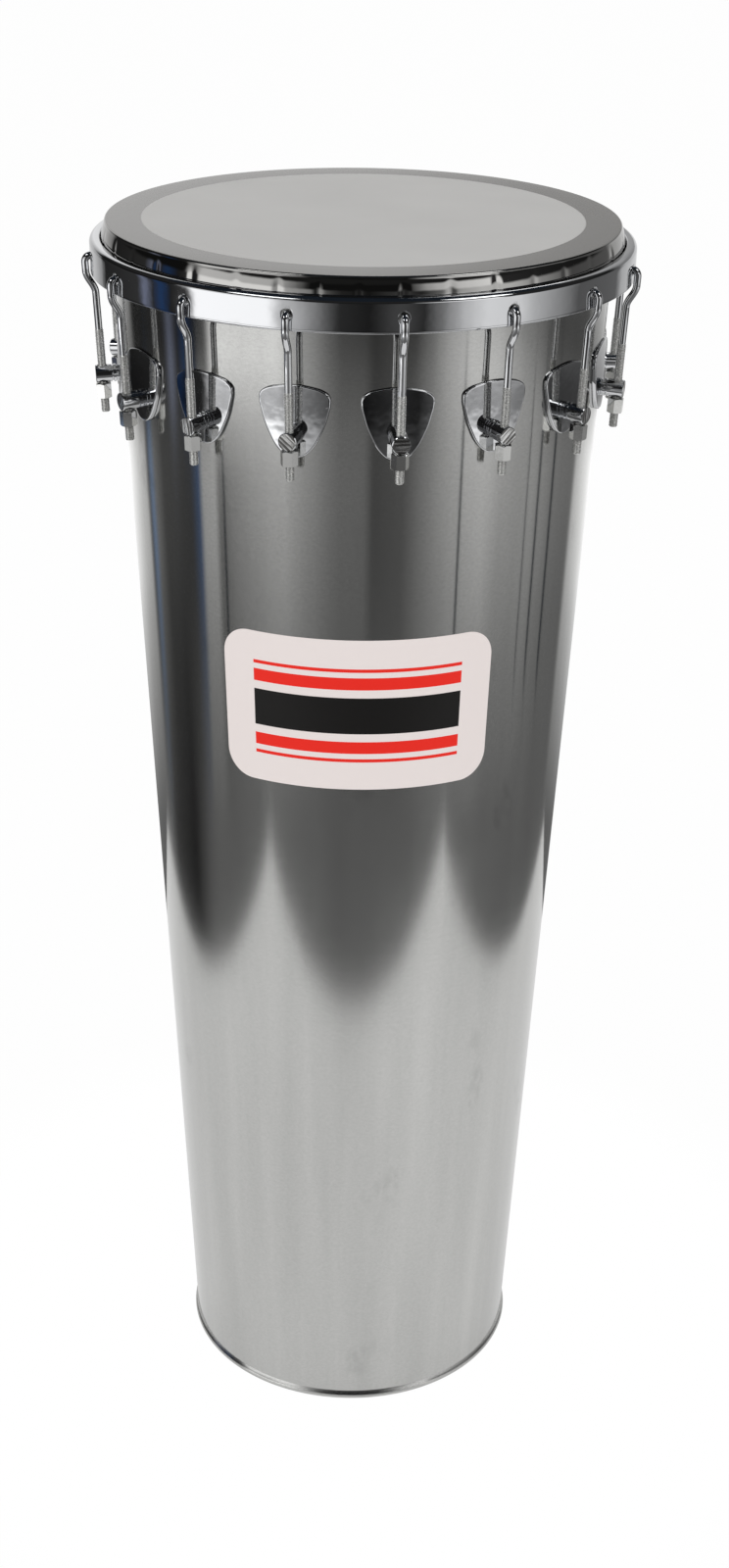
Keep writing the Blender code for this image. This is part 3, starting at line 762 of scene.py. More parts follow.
def turned_profile(name, points, steps, material, waves=0.0, wave_width=1.0, floor=0.0, ceiling=1.0):
    """A closed turned solid from its profile points (radius, height), outside going down."""
    profile = plain_mesh(name + "_profile", [(r, 0.0, z) for r, z in points],
                         [(i, i + 1) for i in range(len(points) - 1)])
    return run_tree(turned_tree, profile, name, material, Steps=steps, Wave_height=waves,
                    Wave_width=wave_width, Wave_floor=floor, Wave_ceiling=ceiling)


def turned_hexagon(name, corner, barrel, material, *cuts):
    """A hexagonal prism of the height of a turned barrel, which rounds off its corners."""
    prism = rod(name + "_prism", corner, barrel[-1][1], barrel[0][1], 6)
    turned = turned_profile(name + "_barrel", barrel, 96, material)
    return with_booleans(prism, name, [("INTERSECT", turned), *cuts])


def at_stations(mesh, name, scene, count, start, material):
    """Copies of a piece at one station after another, in one mesh."""
    stations = scene.timbal_stations
    return run_tree(station_tree, mesh, name, material, Count=count, Start=start,
                    Stations=len(STATION_NAMES), First_angle=stations.first - math.pi / 2,
                    Radius=stations.radius, Height=stations.height, Lean=lean(scene.timbal_shell))


class TIMBAL_OT_shell(Operator):
    """Builds the tapered shell with its bearing edge and wired foot, and finishes the foot wire"""

    bl_idname = "timbal.shell"
    bl_label = "Shell"

    def execute(self, context):
        shell = context.scene.timbal_shell
        top, bottom = shell.wall_top, shell.wall_bottom
        edge, foot = (shell.edge_radius, shell.edge_z), (shell.foot_radius, shell.foot_z)
        heights = spaced(top, bottom, 72)
        points = arc(edge, shell.edge_bead, 180, -62, 20)
        points += [(wall_radius(shell, z), z) for z in heights]
        points += arc(foot, shell.foot_bead, 55, -230, 28)
        points += arc(foot, shell.foot_bead - shell.sheet, -230, 55, 20)
        points += [(wall_radius(shell, z) - shell.sheet, z) for z in reversed(heights)]
        points.append(points[0])
        wave_floor, wave_ceiling = 0.012, HOOP_BOTTOM_Z - 0.01
        polished = polished_brushed_aluminium(context.scene.timbal_finishes)
        mesh = turned_profile("shell", points, SMOOTH_STEPS, polished, shell.waves, shell.wave_width,
                              wave_floor, wave_ceiling)
        paint_where(mesh, mill_finish_aluminium(), lambda face: (
            bottom < face.center.z < top and face.normal.xy.dot(face.center.xy) <= 0))
        show_piece("shell_skin", mesh, DRUM, ["shell"])

        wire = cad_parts["foot_wire"]
        wire.data.materials.clear()
        wire.data.materials.append(drawn_wire())
        return {"FINISHED"}


class TIMBAL_OT_head(Operator):
    """Builds the film with its coat, margin and clear collar, and the flesh hoop that holds it"""

    bl_idname = "timbal.head"
    bl_label = "Head and flesh hoop"

    def execute(self, context):
        head = context.scene.timbal_head
        bend = (head.radius - head.shoulder, HEIGHT - head.shoulder)
        slope = []
        for part in spaced(0.0, 1.0, 12)[1:]:
            widened = part * (1 + head.bulge * (1 - part))
            slope.append((head.radius + (head.foot_radius - head.radius) * widened,
                          bend[1] + (head.entry_z - bend[1]) * part))
        points = [(r, HEIGHT) for r in spaced(0.0, bend[0], 10)[:-1]]
        points += arc(bend, head.shoulder, 90, 0, 10) + slope
        points += [(head.foot_radius, head.end_z), (head.foot_radius - head.thickness, head.end_z)]
        points += [(r - head.thickness, z) for r, z in reversed(slope)]
        points += arc(bend, head.shoulder - head.thickness, 0, 90, 8)
        points.append((0.0, HEIGHT - head.thickness))
        coated = coated_film(context.scene.timbal_finishes, head.coat_radius)
        mesh = turned_profile("head", points, 2 * SMOOTH_STEPS, coated)
        self.pleat(mesh, head, bend[1])
        collar_start = bend[0] + head.shoulder * 0.4
        paint_where(mesh, collar_film(), lambda face: face.center.xy.length > collar_start)
        film = link_object("head_skin", mesh)
        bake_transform(film)
        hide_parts("head_film")

        floor = HOOP_BOTTOM_Z + head.hoop_floor
        inner, outer, wall = head.hoop_inner, head.hoop_outer, head.hoop_wall
        points = [
            (outer, HOOP_TOP_Z), (outer, HOOP_BOTTOM_Z), (inner, HOOP_BOTTOM_Z), (inner, HOOP_TOP_Z),
            (inner + wall, HOOP_TOP_Z), (inner + wall, floor), (outer - wall, floor),
            (outer - wall, HOOP_TOP_Z), (outer, HOOP_TOP_Z),
        ]
        mesh = turned_profile("flesh_hoop", points, SMOOTH_STEPS, rolled_aluminium())
        show_piece("flesh_hoop_channel", mesh, RIM_BODY, ["flesh_hoop"])
        return {"FINISHED"}

    def pleat(self, mesh, head, top):
        """Draws small uneven pleats in the collar, deepest where it enters the hoop."""
        narrow = 9     # the higher, the narrower a pleat
        for vertex in mesh.vertices:
            x, y, z = vertex.co
            radius = math.hypot(x, y)
            if z > top or radius < head.radius - 2 * head.shoulder:
                continue
            around = math.atan2(x, -y)
            depth = head.pleat_depth * min(1.0, (top - z) / head.pleat_rise)
            wander = 0.9 * math.sin(3 * around) + 0.6 * math.sin(7 * around + 1.0)
            fold = max(0.0, math.cos(head.pleats * around + wander)) ** narrow
            scale = 1 - depth * fold / radius
            vertex.co = (x * scale, y * scale, z)


class TIMBAL_OT_rim(Operator):
    """Builds the rim from one straight punched strip, bent and repeated at every station"""

    bl_idname = "timbal.rim"
    bl_label = "Rim"

    def execute(self, context):
        rim, stations = context.scene.timbal_rim, len(STATION_NAMES)
        width = FULL_TURN * rim.radius / stations
        strip = self.strip(self.section(rim), width, 3 * SMOOTH_STEPS // stations // 2)
        across = Matrix.Translation((0.0, rim.radius, rim.hole_z)) @ Matrix.Rotation(math.pi / 2, 4, "X")
        half_punch = 0.006
        punch = rod("rim_punch", rim.hole_radius, -half_punch, half_punch, 48, across)
        punched = with_booleans(strip, "rim_strip", [("DIFFERENCE", punch)])
        self.soften(punched, rim, width / 2)
        chrome = bright_chrome(context.scene.timbal_finishes)
        mesh = run_tree(bent_tree, punched, "rim", chrome, Radius=rim.radius, Stations=stations,
                        First_angle=context.scene.timbal_stations.first + math.pi)
        show_piece("rim_band", mesh, RIM_BODY, ["rim"])
        return {"FINISHED"}

    def section(self, rim):
        """Outline of the strip: curled top, flat outside, inside and the lip over the hoop."""
        inner, underside = rim.radius - rim.thickness, HOOP_TOP_Z + rim.lip_gap
        corner = (rim.radius - rim.curl, RIM_TOP_Z - rim.curl)
        lip = (rim.lip_radius + rim.lip_round, RIM_TOP_Z - rim.lip_round)
        foot = (rim.radius - rim.edge_break, RIM_BOTTOM_Z + rim.edge_break)
        rows = 12
        points = arc(corner, rim.curl, 90, 0, 12)
        points += [(rim.radius, z) for z in spaced(corner[1], foot[1], rows)[1:-1]]
        points += arc(foot, rim.edge_break, 0, -90, 4)
        points += [(inner, z) for z in spaced(RIM_BOTTOM_Z, underside, rows)]
        points.append((rim.lip_radius, underside))
        return points + arc(lip, rim.lip_round, 180, 90, 5)

    def strip(self, section, width, columns):
        """The section drawn out straight, with both ends closed."""
        ring = len(section)
        places = [(width * (c / columns - 0.5), r, z) for c in range(columns + 1) for r, z in section]
        faces = [[c * ring + i, (c + 1) * ring + i, (c + 1) * ring + j, c * ring + j]
                 for c in range(columns) for i, j in zip(range(ring), [*range(1, ring), 0])]
        faces += [list(range(ring)), [columns * ring + i for i in reversed(range(ring))]]
        return welded(plain_mesh("rim_strip", places, [], faces))

    def soften(self, mesh, rim, half):
        """Opens the ends, rounds the hole's outer edge and gives the strip the marks of its making."""
        work = bmesh.new()
        work.from_mesh(mesh)
        ends = [face for face in work.faces
                if abs(face.normal.x) > 0.99 and abs(face.calc_center_median().x) > 0.98 * half]
        bmesh.ops.delete(work, geom=ends, context="FACES_ONLY")
        around_hole = [edge for edge in work.edges if all(
            abs(math.hypot(v.co.x, v.co.z - rim.hole_z) - rim.hole_radius) < SAME_PLACE
            and v.co.y > rim.radius - SAME_PLACE for v in edge.verts)]
        bmesh.ops.bevel(work, geom=around_hole, offset=rim.hole_round, segments=3, affect="EDGES",
                        profile=0.5)
        for vertex in work.verts:
            away = math.hypot(vertex.co.x, vertex.co.z - rim.hole_z) / rim.draw_width
            below = max(0.0, rim.hole_z - vertex.co.z)
            vertex.co.y -= rim.draw * math.exp(-away * away)
            vertex.co.y -= rim.tuck * below * below
        work.to_mesh(mesh)
        work.free()


class TIMBAL_OT_hooks(Operator):
    """Builds the tuning hooks: threaded rod, swan neck and claw"""

    bl_idname = "timbal.hooks"
    bl_label = "Tuning hooks"

    def execute(self, context):
        hooks, chrome = context.scene.timbal_hooks, bright_chrome(context.scene.timbal_finishes)
        hook = run_tree(hook_tree, self.path(hooks), "hook", chrome, Sides=14, Wire_radius=hooks.wire_radius,
                        Thread_radius=hooks.thread_radius, Thread_depth=hooks.thread_depth,
                        Pitch=hooks.pitch, Thread_top=hooks.thread_top, Rod_end=hooks.end_z)
        mark_faces(hook, "threaded", lambda middle: middle.z < hooks.thread_top)
        thread = rolled_thread()
        for i, number in enumerate(STATION_NAMES):
            mesh = at_stations(hook, f"hook_{number}", context.scene, 1, i, chrome)
            paint_where(mesh, thread, marked(mesh, "threaded"))
            show_piece(f"tuning_hook_{number}", mesh, f"hook_{number}", [f"hook_{number}"])
        return {"FINISHED"}

    def path(self, hooks):
        """Middle of the wire: close rings for the thread, then the swan neck and the claw."""
        rings_per_turn = 7
        rings = round((hooks.thread_top - hooks.end_z) / hooks.pitch * rings_per_turn)
        places = [(0.0, z) for z in spaced(hooks.end_z, hooks.thread_top, rings)]
        for part in spaced(0.0, 1.0, 20):
            places.append((hooks.neck_offset * (1 - math.cos(math.pi * part)) / 2,
                           hooks.neck_start + (hooks.neck_end - hooks.neck_start) * part))
        places += arc((hooks.neck_offset - hooks.claw_radius, hooks.claw_z), hooks.claw_radius, 0, 180, 20)
        places.append((hooks.neck_offset - 2 * hooks.claw_radius, hooks.tip_z))
        curve = bpy.data.curves.new("hook_path", "CURVE")
        curve.dimensions = "3D"
        spline = curve.splines.new("POLY")
        spline.points.add(len(places) - 1)
        for point, (x, z) in zip(spline.points, places):
            point.co = (x, 0.0, z, 1.0)
        return curve


class TIMBAL_OT_nuts(Operator):
    """Builds the hexagon nuts under the posts"""

    bl_idname = "timbal.nuts"
    bl_label = "Nuts"

    def execute(self, context):
        nuts = context.scene.timbal_nuts
        top = -context.scene.timbal_lugs.post_radius - nuts.gap
        bottom = top - nuts.height
        corner = nuts.across_flats / math.sqrt(3)
        inwards, along, beyond = 2.2 * nuts.chamfer, 1.2 * nuts.chamfer, 0.002
        material = machined_plate(context.scene.timbal_finishes)
        barrel = [
            (0.0, top), (corner - inwards, top), (corner, top - along),
            (corner, bottom + along), (corner - inwards, bottom), (0.0, bottom),
        ]
        bore = rod("nut_bore", nuts.bore, bottom - beyond, top + beyond, 40)
        blank = turned_hexagon("nut", corner, barrel, material, ("DIFFERENCE", bore))
        for i, number in enumerate(STATION_NAMES):
            mesh = at_stations(blank, f"nut_{number}", context.scene, 1, i, material)
            show_piece(f"tuning_nut_{number}", mesh, f"nut_{number}", [f"nut_{number}"])
        return {"FINISHED"}


# Right half of the shield's outline, sideways and up from the rod's axis, between its top and lowest point

SHIELD = [(0.0112, 0.0309), (0.0196, 0.0283), (0.0229, 0.0252), (0.0234, 0.0208), (0.0222, 0.0145),
          (0.0179, 0.0018), (0.0100, -0.0110), (0.0046, -0.0146)]


class TIMBAL_OT_lugs(Operator):
    """Builds the shield plates, their grooved posts, and the screws and washers inside"""

    bl_idname = "timbal.lugs"
    bl_label = "Lugs"

    def execute(self, context):
        scene, lugs = context.scene, context.scene.timbal_lugs
        chrome = bright_chrome(scene.timbal_finishes)
        count = len(STATION_NAMES)
        nodes = [f"lug_{number}" for number in STATION_NAMES]
        for name, mesh in (("lug_plates", self.plate(scene, lugs)), ("lug_posts", self.post(lugs, chrome)),
                           ("lug_screws", self.screw_and_washer(lugs, chrome))):
            made = at_stations(mesh, name, scene, count, 0, chrome)
            if name == "lug_posts":
                paint_where(made, sawn_end(), marked(made, "cut_end"))
                self.turn_marks(made, scene.timbal_stations.first)
            show_piece(name, made, DRUM, nodes)
        return {"FINISHED"}

    def plate(self, scene, lugs):
        """A rounded shield, crowned and set upright in front, and hollowed to the wall behind."""
        inset, half_width, reach = 0.00025, 0.024, 0.07
        work = bmesh.new()
        work.from_mesh(self.shield(lugs))
        front = [face for face in work.faces if face.normal.x > 0.999]
        bmesh.ops.inset_region(work, faces=front, thickness=inset)
        for y in spaced(-half_width, half_width, 24)[1:-1]:
            everything = work.verts[:] + work.edges[:] + work.faces[:]
            bmesh.ops.bisect_plane(work, geom=everything, plane_co=(0, y, 0), plane_no=(0, 1, 0))
        for vertex in work.verts:
            vertex.co.x -= vertex.co.y ** 2 / (2 * lugs.crown)
            vertex.co.x -= (vertex.co.z - lugs.upright_z) * lugs.upright * scene.timbal_shell.taper
        stations, shell = scene.timbal_stations, scene.timbal_shell
        low, high = stations.height - reach, stations.height + reach
        below, above = (wall_radius(shell, z) + lugs.wall_gap for z in (low, high))
        leaning = Matrix.Rotation(lean(shell), 4, "Y")
        placed = Matrix.Translation((stations.radius, 0.0, stations.height)) @ leaning
        wall = rod("wall", below, low, high, 720, upper=above)
        wall.transform(placed.inverted())
        return with_booleans(mesh_from(work, "plate"), "plate", [("DIFFERENCE", wall)])

    def shield(self, lugs):
        """The shield as a thick rounded plate, standing in the station's frame."""
        outline = [(0.0, lugs.top), *SHIELD, (0.0, lugs.bottom), *((-y, z) for y, z in reversed(SHIELD))]
        curve = bpy.data.curves.new("plate_outline", "CURVE")
        curve.dimensions = "2D"
        curve.fill_mode = "BOTH"
        curve.resolution_u = 8
        curve.extrude = (lugs.front_x - lugs.back_x) / 2 - lugs.bevel
        curve.bevel_depth = lugs.bevel
        curve.bevel_resolution = 4
        curve.offset = -lugs.bevel
        spline = curve.splines.new("BEZIER")
        spline.use_cyclic_u = True
        spline.bezier_points.add(len(outline) - 1)
        for point, (y, z) in zip(spline.bezier_points, outline):
            point.co = (y, z, 0.0)
            point.handle_left_type = point.handle_right_type = "AUTO"
        mesh = settled(link_object("plate_outline", curve), "plate")
        stand = Matrix(((0, 0, 1), (1, 0, 0), (0, 1, 0))).to_4x4()
        mesh.transform(Matrix.Translation(((lugs.front_x + lugs.back_x) / 2, 0.0, 0.0)) @ stand)
        return welded(mesh)

    def post(self, lugs, material):
        """Turned post with two grooves along the station's X axis, cross-drilled, its cut end marked."""
        half, radius, edge = lugs.groove_width / 2, lugs.post_radius, 0.0004
        floor, sunk, half_drill = radius - lugs.groove_depth, 0.0006, 0.009
        grooves = (-0.0098, -0.0068)
        points = [(0.0, lugs.front_x - sunk), (radius, lugs.front_x - sunk)]
        for groove in grooves:
            points += [(radius, groove - half), (floor, groove - half / 2), (floor, groove + half / 2),
                       (radius, groove + half)]
        points += [(radius, lugs.post_end - edge), (radius - edge, lugs.post_end), (0.0, lugs.post_end)]
        turned = turned_profile("post", points[::-1], 64, material)
        turned.transform(Matrix.Rotation(math.pi / 2, 4, "Y"))
        cross = rod("post_bore", lugs.post_bore, -half_drill, half_drill, 40)
        mesh = with_booleans(welded(turned), "post", [("DIFFERENCE", cross)])
        lay_flat(mesh, "end", [vertex.co.yz for vertex in mesh.vertices])
        mark_faces(mesh, "cut_end", lambda middle: middle.x > lugs.post_end - 0.0001)
        return mesh

    def screw_and_washer(self, lugs, material):
        """Hexagon screw head on a plain washer, inside the shell."""
        bore, wide, corner = lugs.screw_radius, lugs.washer_radius, lugs.head_corner
        outer, inner = lugs.washer_x, lugs.washer_x - lugs.washer_thickness
        far = inner - lugs.head_height
        ease, along, inwards = 0.00025, 0.0006, 0.0011
        washer = [(bore, inner), (bore, outer), (wide - ease, outer), (wide, outer - ease),
                  (wide, inner + ease), (wide - ease, inner), (bore, inner)]
        barrel = [(0.0, inner), (corner, inner), (corner, far + along), (corner - inwards, far), (0.0, far)]
        work = bmesh.new()
        work.from_mesh(turned_profile("washer", washer, 64, material))
        work.from_mesh(turned_hexagon("screw_head", corner, barrel, material))
        work.from_mesh(rod("shank", bore * 0.97, inner - 0.001, lugs.front_x - 0.002, 40))
        mesh = mesh_from(work, "screw_and_washer")
        mesh.transform(Matrix.Rotation(math.pi / 2, 4, "Y"))
        return mesh

    def turn_marks(self, mesh, first):
        """Turns the saw marks another way on each post."""
        flat = mesh.uv_layers["end"].uv
        for face in mesh.polygons:
            azimuth = math.atan2(face.center.x, -face.center.y)
            station = round((azimuth - first) / (FULL_TURN / len(STATION_NAMES)))
            turn = Matrix.Rotation(2.4 * station, 2)
            for loop in face.loop_indices:
                flat[loop].vector = turn @ flat[loop].vector


class TIMBAL_OT_label(Operator):
    """Lays a plain striped label on the front of the shell"""

    bl_idname = "timbal.label"
    bl_label = "Label"

    def execute(self, context):
        label, shell = context.scene.timbal_label, context.scene.timbal_shell
        rows, columns = 64, 72
        points, places = [], []
        for turn in spaced(0.0, math.pi, rows):
            v = -math.cos(turn) * label.height / 2
            below = max(0.0, abs(v) - (label.height / 2 - label.corner))
            inset = label.corner - math.sqrt(max(0.0, label.corner ** 2 - below ** 2))
            half = label.width / 2 - inset
            z = label.middle_z + v * math.cos(lean(shell))
            radius = wall_radius(shell, z)
            for u in spaced(-half, half, columns):
                around = u / wall_radius(shell, label.middle_z)
                points.append((radius * math.sin(around), -radius * math.cos(around), z))
                places.append((u, v))
        row = columns + 1
        faces = [(k, k + 1, k + row + 1, k + row)
                 for i in range(rows) for k in range(i * row, i * row + columns)]
        carrier = link_object("label_carrier", plain_mesh("label", points, [], faces))
        lay_flat(carrier.data, "flat", places)
        solid = carrier.modifiers.new("thickness", "SOLIDIFY")
        solid.thickness = label.thickness
        solid.offset = 1.0
        mesh = settled(carrier, "label")
        mesh.shade_smooth()
        mesh.set_sharp_from_angle(angle=SHARP)
        mesh.materials.clear()
        mesh.materials.append(printed_vinyl(context.scene.timbal_finishes, label.reach))
        piece = link_object("front_label", mesh)
        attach(piece, DRUM)
        return {"FINISHED"}


# Studio: brightness round the drum by heading in degrees, 0 at -Y and positive towards +X

FLOOR_TONES = [
    (-180, 0.90), (-150, 0.80), (-129, 0.50), (-126, 0.08), (-122, (0.16, 0.22, 0.33)), (-118, 0.17),
    (-110, 0.07), (-88, 0.05), (-83, (0.06, 0.09, 0.16)), (-80, 0.40), (-73, 0.41), (-70, 0.12),
    (-57, 0.30), (-35, 0.46), (-24, 0.31), (-9, 0.18), (2, 0.16), (6, 0.07), (20, 0.10), (33, 0.27),
    (44, 0.42), (60, 0.54), (70, 0.40), (90, 0.34), (106, 0.22), (126, 0.16), (130, 0.55), (150, 0.80),
    (180, 0.90),
]
LOWER_TONES = [
    (-180, 0.90), (-146, 0.60), (-136, 0.35), (-131, 0.02), (-102, 0.04), (-98, (0.19, 0.21, 0.29)),
    (-93, 0.03), (-88, (0.02, 0.05, 0.13)), (-82, 0.02), (-75, 0.05), (-70, 1.40), (-37, 1.35), (-31, 0.65),
    (-23, 0.42), (-15, 0.15), (-9, 0.03), (3, 0.015), (15, 0.07), (24, 0.03), (32, 0.22), (40, 0.60),
    (50, 0.90), (63, 0.85), (74, 0.52), (90, 0.24), (97, 0.11), (127, 0.14), (133, 0.50), (150, 0.65),
    (180, 0.90),
]
UPPER_TONES = [
    (-180, 0.80), (-165, 0.95), (-146, 0.50), (-137, 0.01), (-79, 0.01), (-74, 0.50), (-70, 0.92),
    (-38, 0.78), (-30, 0.42), (-22, 0.01), (19, 0.010), (27, 0.60), (31, 0.80), (55, 1.30), (59, 0.04),
    (85, 0.022), (122, 0.012), (132, 0.22), (150, 0.28), (172, 0.40), (180, 0.80),
]
TOP_TONES = [
    (-180, 0.80), (-150, 0.80), (-141, 0.02), (128, 0.02), (140, 0.35), (172, 0.45), (180, 0.80),
]
NEAR_TONES = [     # close to the pale sheet the dark floor is even but for one side
    (-180, 0.145), (-126, 0.145), (-118, 0.05), (-110, 0.035), (-98, 0.02), (-91, 0.07), (-84, 0.13),
    (-72, 0.145), (180, 0.145),
]
CLOTH_GAPS = [(-67.5, 1.2), (48, 1.2), (87, 0.7), (95, 1.4), (106, 1.6)]     # heading and width in degrees
SQUARE = [(-1, -1), (1, -1), (1, 1), (-1, 1)]


def seen_directly(tree):
    """1 for what the camera, a mirror or glass sees, and 0 for what only lights a matt surface."""
    path = add_node(tree, "ShaderNodeLightPath").node.outputs
    seen = add_node(tree, MATH, [path["Is Camera Ray"], path["Is Glossy Ray"]], operation="MAXIMUM")
    return add_node(tree, MATH, [seen, path["Is Transmission Ray"]], operation="MAXIMUM")


def heading_tone(tree, place, stops):
    """Brightness by heading round the drum, from (degrees, tone)."""
    x, y = add_node(tree, SPLIT, [place]).node.outputs[:2]
    front = add_node(tree, MATH, [y, -1.0], operation="MULTIPLY")
    heading = add_node(tree, MATH, [x, front], operation="ARCTAN2")
    share = add_node(tree, RANGE, [heading, -math.pi, math.pi])
    tone = add_node(tree, "ShaderNodeValToRGB", [share])
    elements = tone.node.color_ramp.elements
    elements.remove(elements[-1])
    for i, (degrees, grey) in enumerate(stops):
        at = (degrees + 180) / 360
        element = elements.new(at) if i else elements[0]
        element.position = at
        element.color = (*grey, 1.0) if isinstance(grey, tuple) else (grey, grey, grey, 1.0)
    return tone


def layered_tones(tree, place, along, first, *layers):
    """Tones by heading that give way to others farther along, from (start, end, tones)."""
    tone = heading_tone(tree, place, first)
    for start, end, stops in layers:
        share = add_node(tree, RANGE, [along, start, end])
        beyond = heading_tone(tree, place, stops)
        tone = add_node(tree, MIX, {"Factor": share, "A": tone, "B": beyond}, "Result", data_type="RGBA")
    return tone


def floor_cloth_tones(tree, place):
    """Dark near the pale sheet, and light and dark by turns farther off."""
    away = from_axis(tree, place)
    tones = layered_tones(tree, place, away, NEAR_TONES, (0.95, 1.75, FLOOR_TONES))
    return tones, add_node(tree, RANGE, [away, 1.6, 2.3, 1.0, 1.4])


def screen_tones(tree, place):
    """Three bands of tones, one over another, with a dim stretch just above the screens' foot."""
    height = add_node(tree, SPLIT, [place], "Z")
    tones = layered_tones(tree, place, height, LOWER_TONES,
                          (1.05, 1.20, UPPER_TONES), (1.60, 1.75, TOP_TONES))
    foot = add_node(tree, RANGE, [height, 0.06, 0.12, 1.4, 0.42])
    rest = add_node(tree, RANGE, [height, 0.14, 0.27, 0.42, 1.0])
    return tones, add_node(tree, MATH, [foot, rest], operation="MAXIMUM")


def dark_tone(tree, place):
    """Nearly black, with a little blue."""
    return (0.012, 0.016, 0.022, 1.0), 1.0


def add_screen(name, points, faces, finish, tones):
    """A studio screen that glows evenly and shows in reflections and glass, and not to the camera or
    as a shadow, so that the metal reflects its tone and nothing else."""
    card = link_object(name, plain_mesh(name, points, [], faces))
    material = bpy.data.materials.new(finish)
    material.use_nodes = True
    tree = material.node_tree
    tree.nodes.clear()
    glow = add_node(tree, EMISSION, tones(tree, add_node(tree, "ShaderNodeTexCoord", out="Object")))
    tree.links.new(glow, tree.nodes.new("ShaderNodeOutputMaterial").inputs[0])
    material.cycles.emission_sampling = "NONE"
    card.data.materials.append(material)
    card.visible_camera = False
    card.visible_diffuse = False
    card.visible_shadow = False
    card.visible_volume_scatter = False


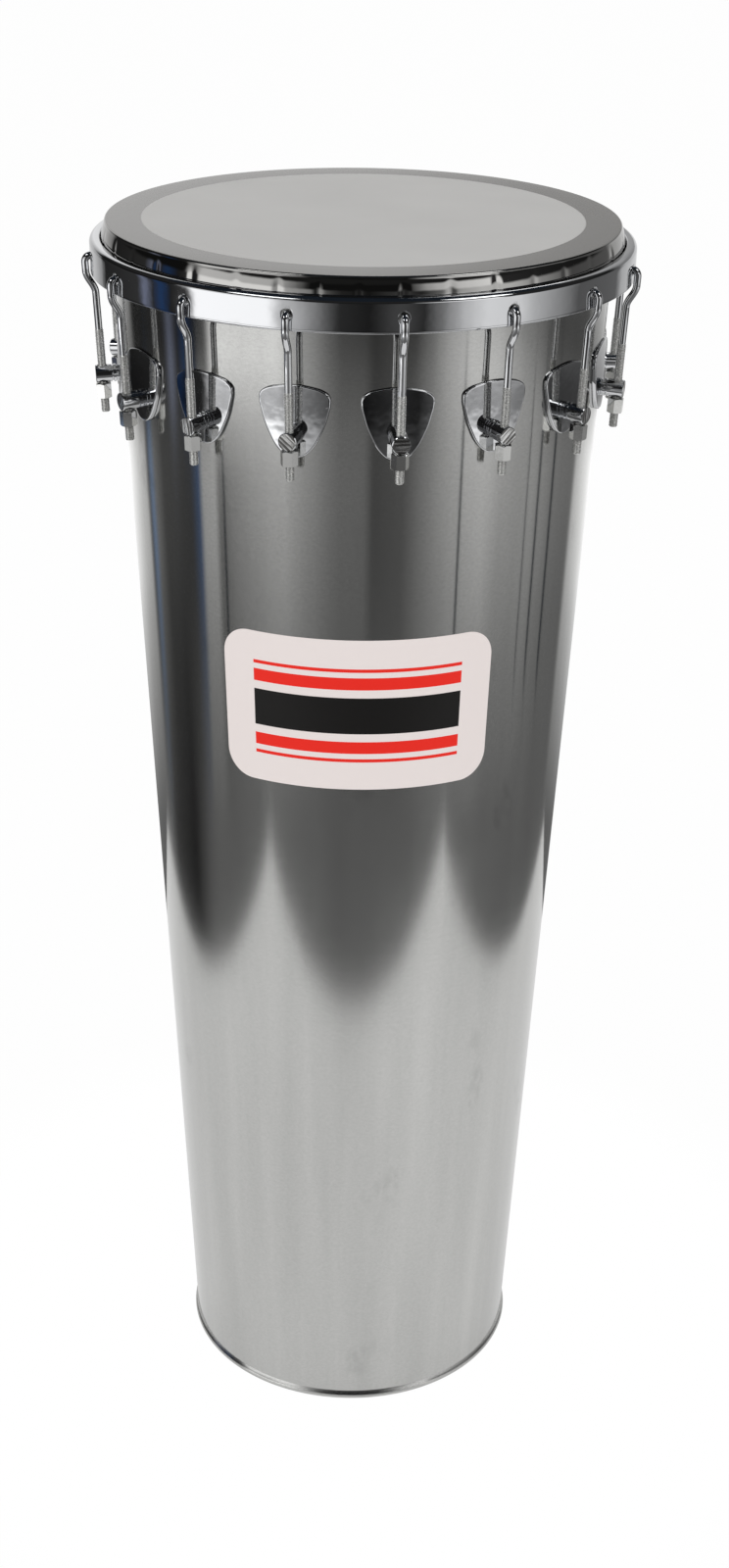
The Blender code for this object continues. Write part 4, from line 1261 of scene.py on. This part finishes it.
class TIMBAL_OT_studio(Operator):
    """Sets the camera, the pale floor, the soft lights and the screens that the metal reflects"""

    bl_idname = "timbal.studio"
    bl_label = "Studio"

    def execute(self, context):
        studio = context.scene.timbal_studio
        self.camera(context, studio)
        self.floor()
        self.screens(studio)
        self.lights()
        self.sky(context, studio)
        context.scene.view_settings.view_transform = "Standard"
        return {"FINISHED"}

    def camera(self, context, studio):
        """The camera, turned by its pitch, yaw and roll."""
        level, down = math.cos(studio.pitch), math.sin(studio.pitch)
        forward = Vector((math.sin(studio.yaw) * level, math.cos(studio.yaw) * level, -down))
        right = forward.cross(Vector((0, 0, 1))).normalized()
        up = right.cross(forward)
        turned_right = right * math.cos(studio.roll) + up * math.sin(studio.roll)
        turned_up = up * math.cos(studio.roll) - right * math.sin(studio.roll)
        data = bpy.data.cameras.new("camera")
        data.sensor_width = 36.0
        data.lens = studio.lens
        camera = link_object("camera", data)
        axes = Matrix((turned_right, turned_up, -forward)).transposed().to_4x4()
        camera.matrix_world = Matrix.Translation((0.0, -studio.camera_back, studio.camera_height)) @ axes
        context.scene.camera = camera

    def floor(self):
        """White paper. What looks straight at it sees it mostly white, and the rest of it keeps the drum's
        shadow.
        Close round the drum it glows more: painted light that lifts the drum's shadow there."""
        half = 30.0
        floor = link_object("floor", plain_mesh("floor", [(x * half, y * half, 0.0) for x, y in SQUARE],
                                                [], [range(4)]))
        material, tree, shader, place = new_material(
            "studio_floor_white_paper", Roughness=0.6, Specular_IOR_Level=0.2)
        ends = {"A": linear("#F3F3F3"), "B": linear("#F6F6F6")}
        feed(tree, shader, Base_Color=add_node(
            tree, MIX, {"Factor": stretched_noise(tree, place, 3.0), **ends}, "Result", data_type="RGBA"))
        # Painted light: a stronger glow close round the drum, seen by the camera and in the metal, that lifts
        # the drum's shadow there
        bright = add_node(tree, RANGE, [from_axis(tree, place), 0.13, 0.45, 0.38, 0.24])
        in_metal = add_node(tree, MATH, [seen_directly(tree), bright], operation="MULTIPLY")
        camera = add_node(tree, "ShaderNodeLightPath", out="Is Camera Ray")
        share = add_node(tree, MATH, [camera, 0.72, in_metal], operation="MULTIPLY_ADD")
        mix = add_node(tree, "ShaderNodeMixShader", [share, shader.outputs[0], add_node(tree, EMISSION)])
        feed(tree, tree.nodes["Material Output"], Surface=mix)
        material.cycles.emission_sampling = "NONE"
        floor.data.materials.append(material)

    def screens(self, studio):
        """A dark floor cloth round the pale sheet, with gaps in it, and screens behind it."""
        radius, steps, lift = studio.wall_radius, 144, 0.002
        inner, outer = [], []
        for i in range(steps):
            around = FULL_TURN * i / steps
            x, y = math.sin(around), -math.cos(around)
            width = studio.sheet_width + math.copysign(studio.sheet_shift, x)
            reach = 1 / max(abs(x) / width, abs(y) / studio.sheet_depth)
            inner.append((x * reach, y * reach, lift))
            outer.append((x * radius, y * radius, lift))
        faces = [(i, (i + 1) % steps, steps + (i + 1) % steps, steps + i) for i in range(steps)]
        add_screen("floor_cloth", inner + outer, faces, "cloth_dark", floor_cloth_tones)
        edges, strips = [], []
        for heading, width in CLOTH_GAPS:
            first = len(edges)
            strips.append((first, first + 1, first + 3, first + 2))
            for degrees in (heading - width / 2, heading + width / 2):
                around = math.radians(degrees)
                edges += [(reach * math.sin(around), -reach * math.cos(around), 2 * lift)
                          for reach in (studio.gap_start, radius)]
        add_screen("cloth_gaps", edges, strips, "gap_dark", dark_tone)
        top = [(x, y, studio.wall_height) for x, y, z in outer]
        add_screen("screens", outer + top, faces, "screens_grey", screen_tones)
        corners = [(x * radius, y * radius, studio.wall_height) for x, y in SQUARE]
        add_screen("ceiling", corners, [range(4)], "ceiling_dark", dark_tone)

    def lights(self):
        """Three soft boxes, aimed at the middle of the drum."""
        for name, place, size, power in (
            ("soft_box_left", (-1.7, -1.5, 2.9), 1.3, 16.0),
            ("soft_box_right", (1.8, -1.2, 2.7), 1.1, 10.0),
            ("soft_box_back", (0.4, 1.9, 2.9), 1.2, 8.0),
        ):
            data = bpy.data.lights.new(name, "AREA")
            data.energy = power
            data.size = size
            lamp = link_object(name, data)
            lamp.location = place
            lamp.rotation_mode = "QUATERNION"
            lamp.rotation_quaternion = (Vector(place) - Vector((0, 0, 0.5))).to_track_quat("Z", "Y")

    def sky(self, context, studio):
        """An even sky: white where it is seen, dimmer where it only lights."""
        world = bpy.data.worlds.new("studio_sky")
        context.scene.world = world
        world.use_nodes = True
        tree = world.node_tree
        back = tree.nodes["Background"]
        back.inputs["Color"].default_value = (1.0, 1.0, 1.0, 1.0)
        feed(tree, back, Strength=add_node(tree, RANGE, [seen_directly(tree), 0.0, 1.0, studio.level, 1.0]))


class TIMBAL_PT_panel(Panel):
    """Lists the drum's pieces and their sizes"""

    bl_label = "Timbal drum"
    bl_idname = "TIMBAL_PT_panel"
    bl_space_type = "VIEW_3D"
    bl_region_type = "UI"
    bl_category = "Timbal"

    def draw(self, context):
        for operator in OPERATORS:
            self.layout.operator(operator.bl_idname)
        for attribute, group in GROUPS.items():
            box = self.layout.box()
            box.label(text=attribute.replace("_", " ").capitalize())
            for name in group.__annotations__:
                box.prop(getattr(context.scene, attribute), name)


OPERATORS = (
    TIMBAL_OT_shell, TIMBAL_OT_head, TIMBAL_OT_rim, TIMBAL_OT_hooks, TIMBAL_OT_nuts, TIMBAL_OT_lugs,
    TIMBAL_OT_label, TIMBAL_OT_studio,
)


def register():
    for attribute, group in GROUPS.items():
        bpy.utils.register_class(group)
        setattr(bpy.types.Scene, attribute, PointerProperty(type=group))
    for shown in (*OPERATORS, TIMBAL_PT_panel):
        bpy.utils.register_class(shown)


def unregister():
    for shown in (TIMBAL_PT_panel, *reversed(OPERATORS)):
        bpy.utils.unregister_class(shown)
    for attribute, group in GROUPS.items():
        delattr(bpy.types.Scene, attribute)
        bpy.utils.unregister_class(group)


def main():
    register()
    bpy.ops.timbal.shell()
    bpy.ops.timbal.head()
    bpy.ops.timbal.rim()
    bpy.ops.timbal.hooks()
    bpy.ops.timbal.nuts()
    bpy.ops.timbal.lugs()
    bpy.ops.timbal.label()
    bpy.ops.timbal.studio()


if __name__ == "__main__":
    main()
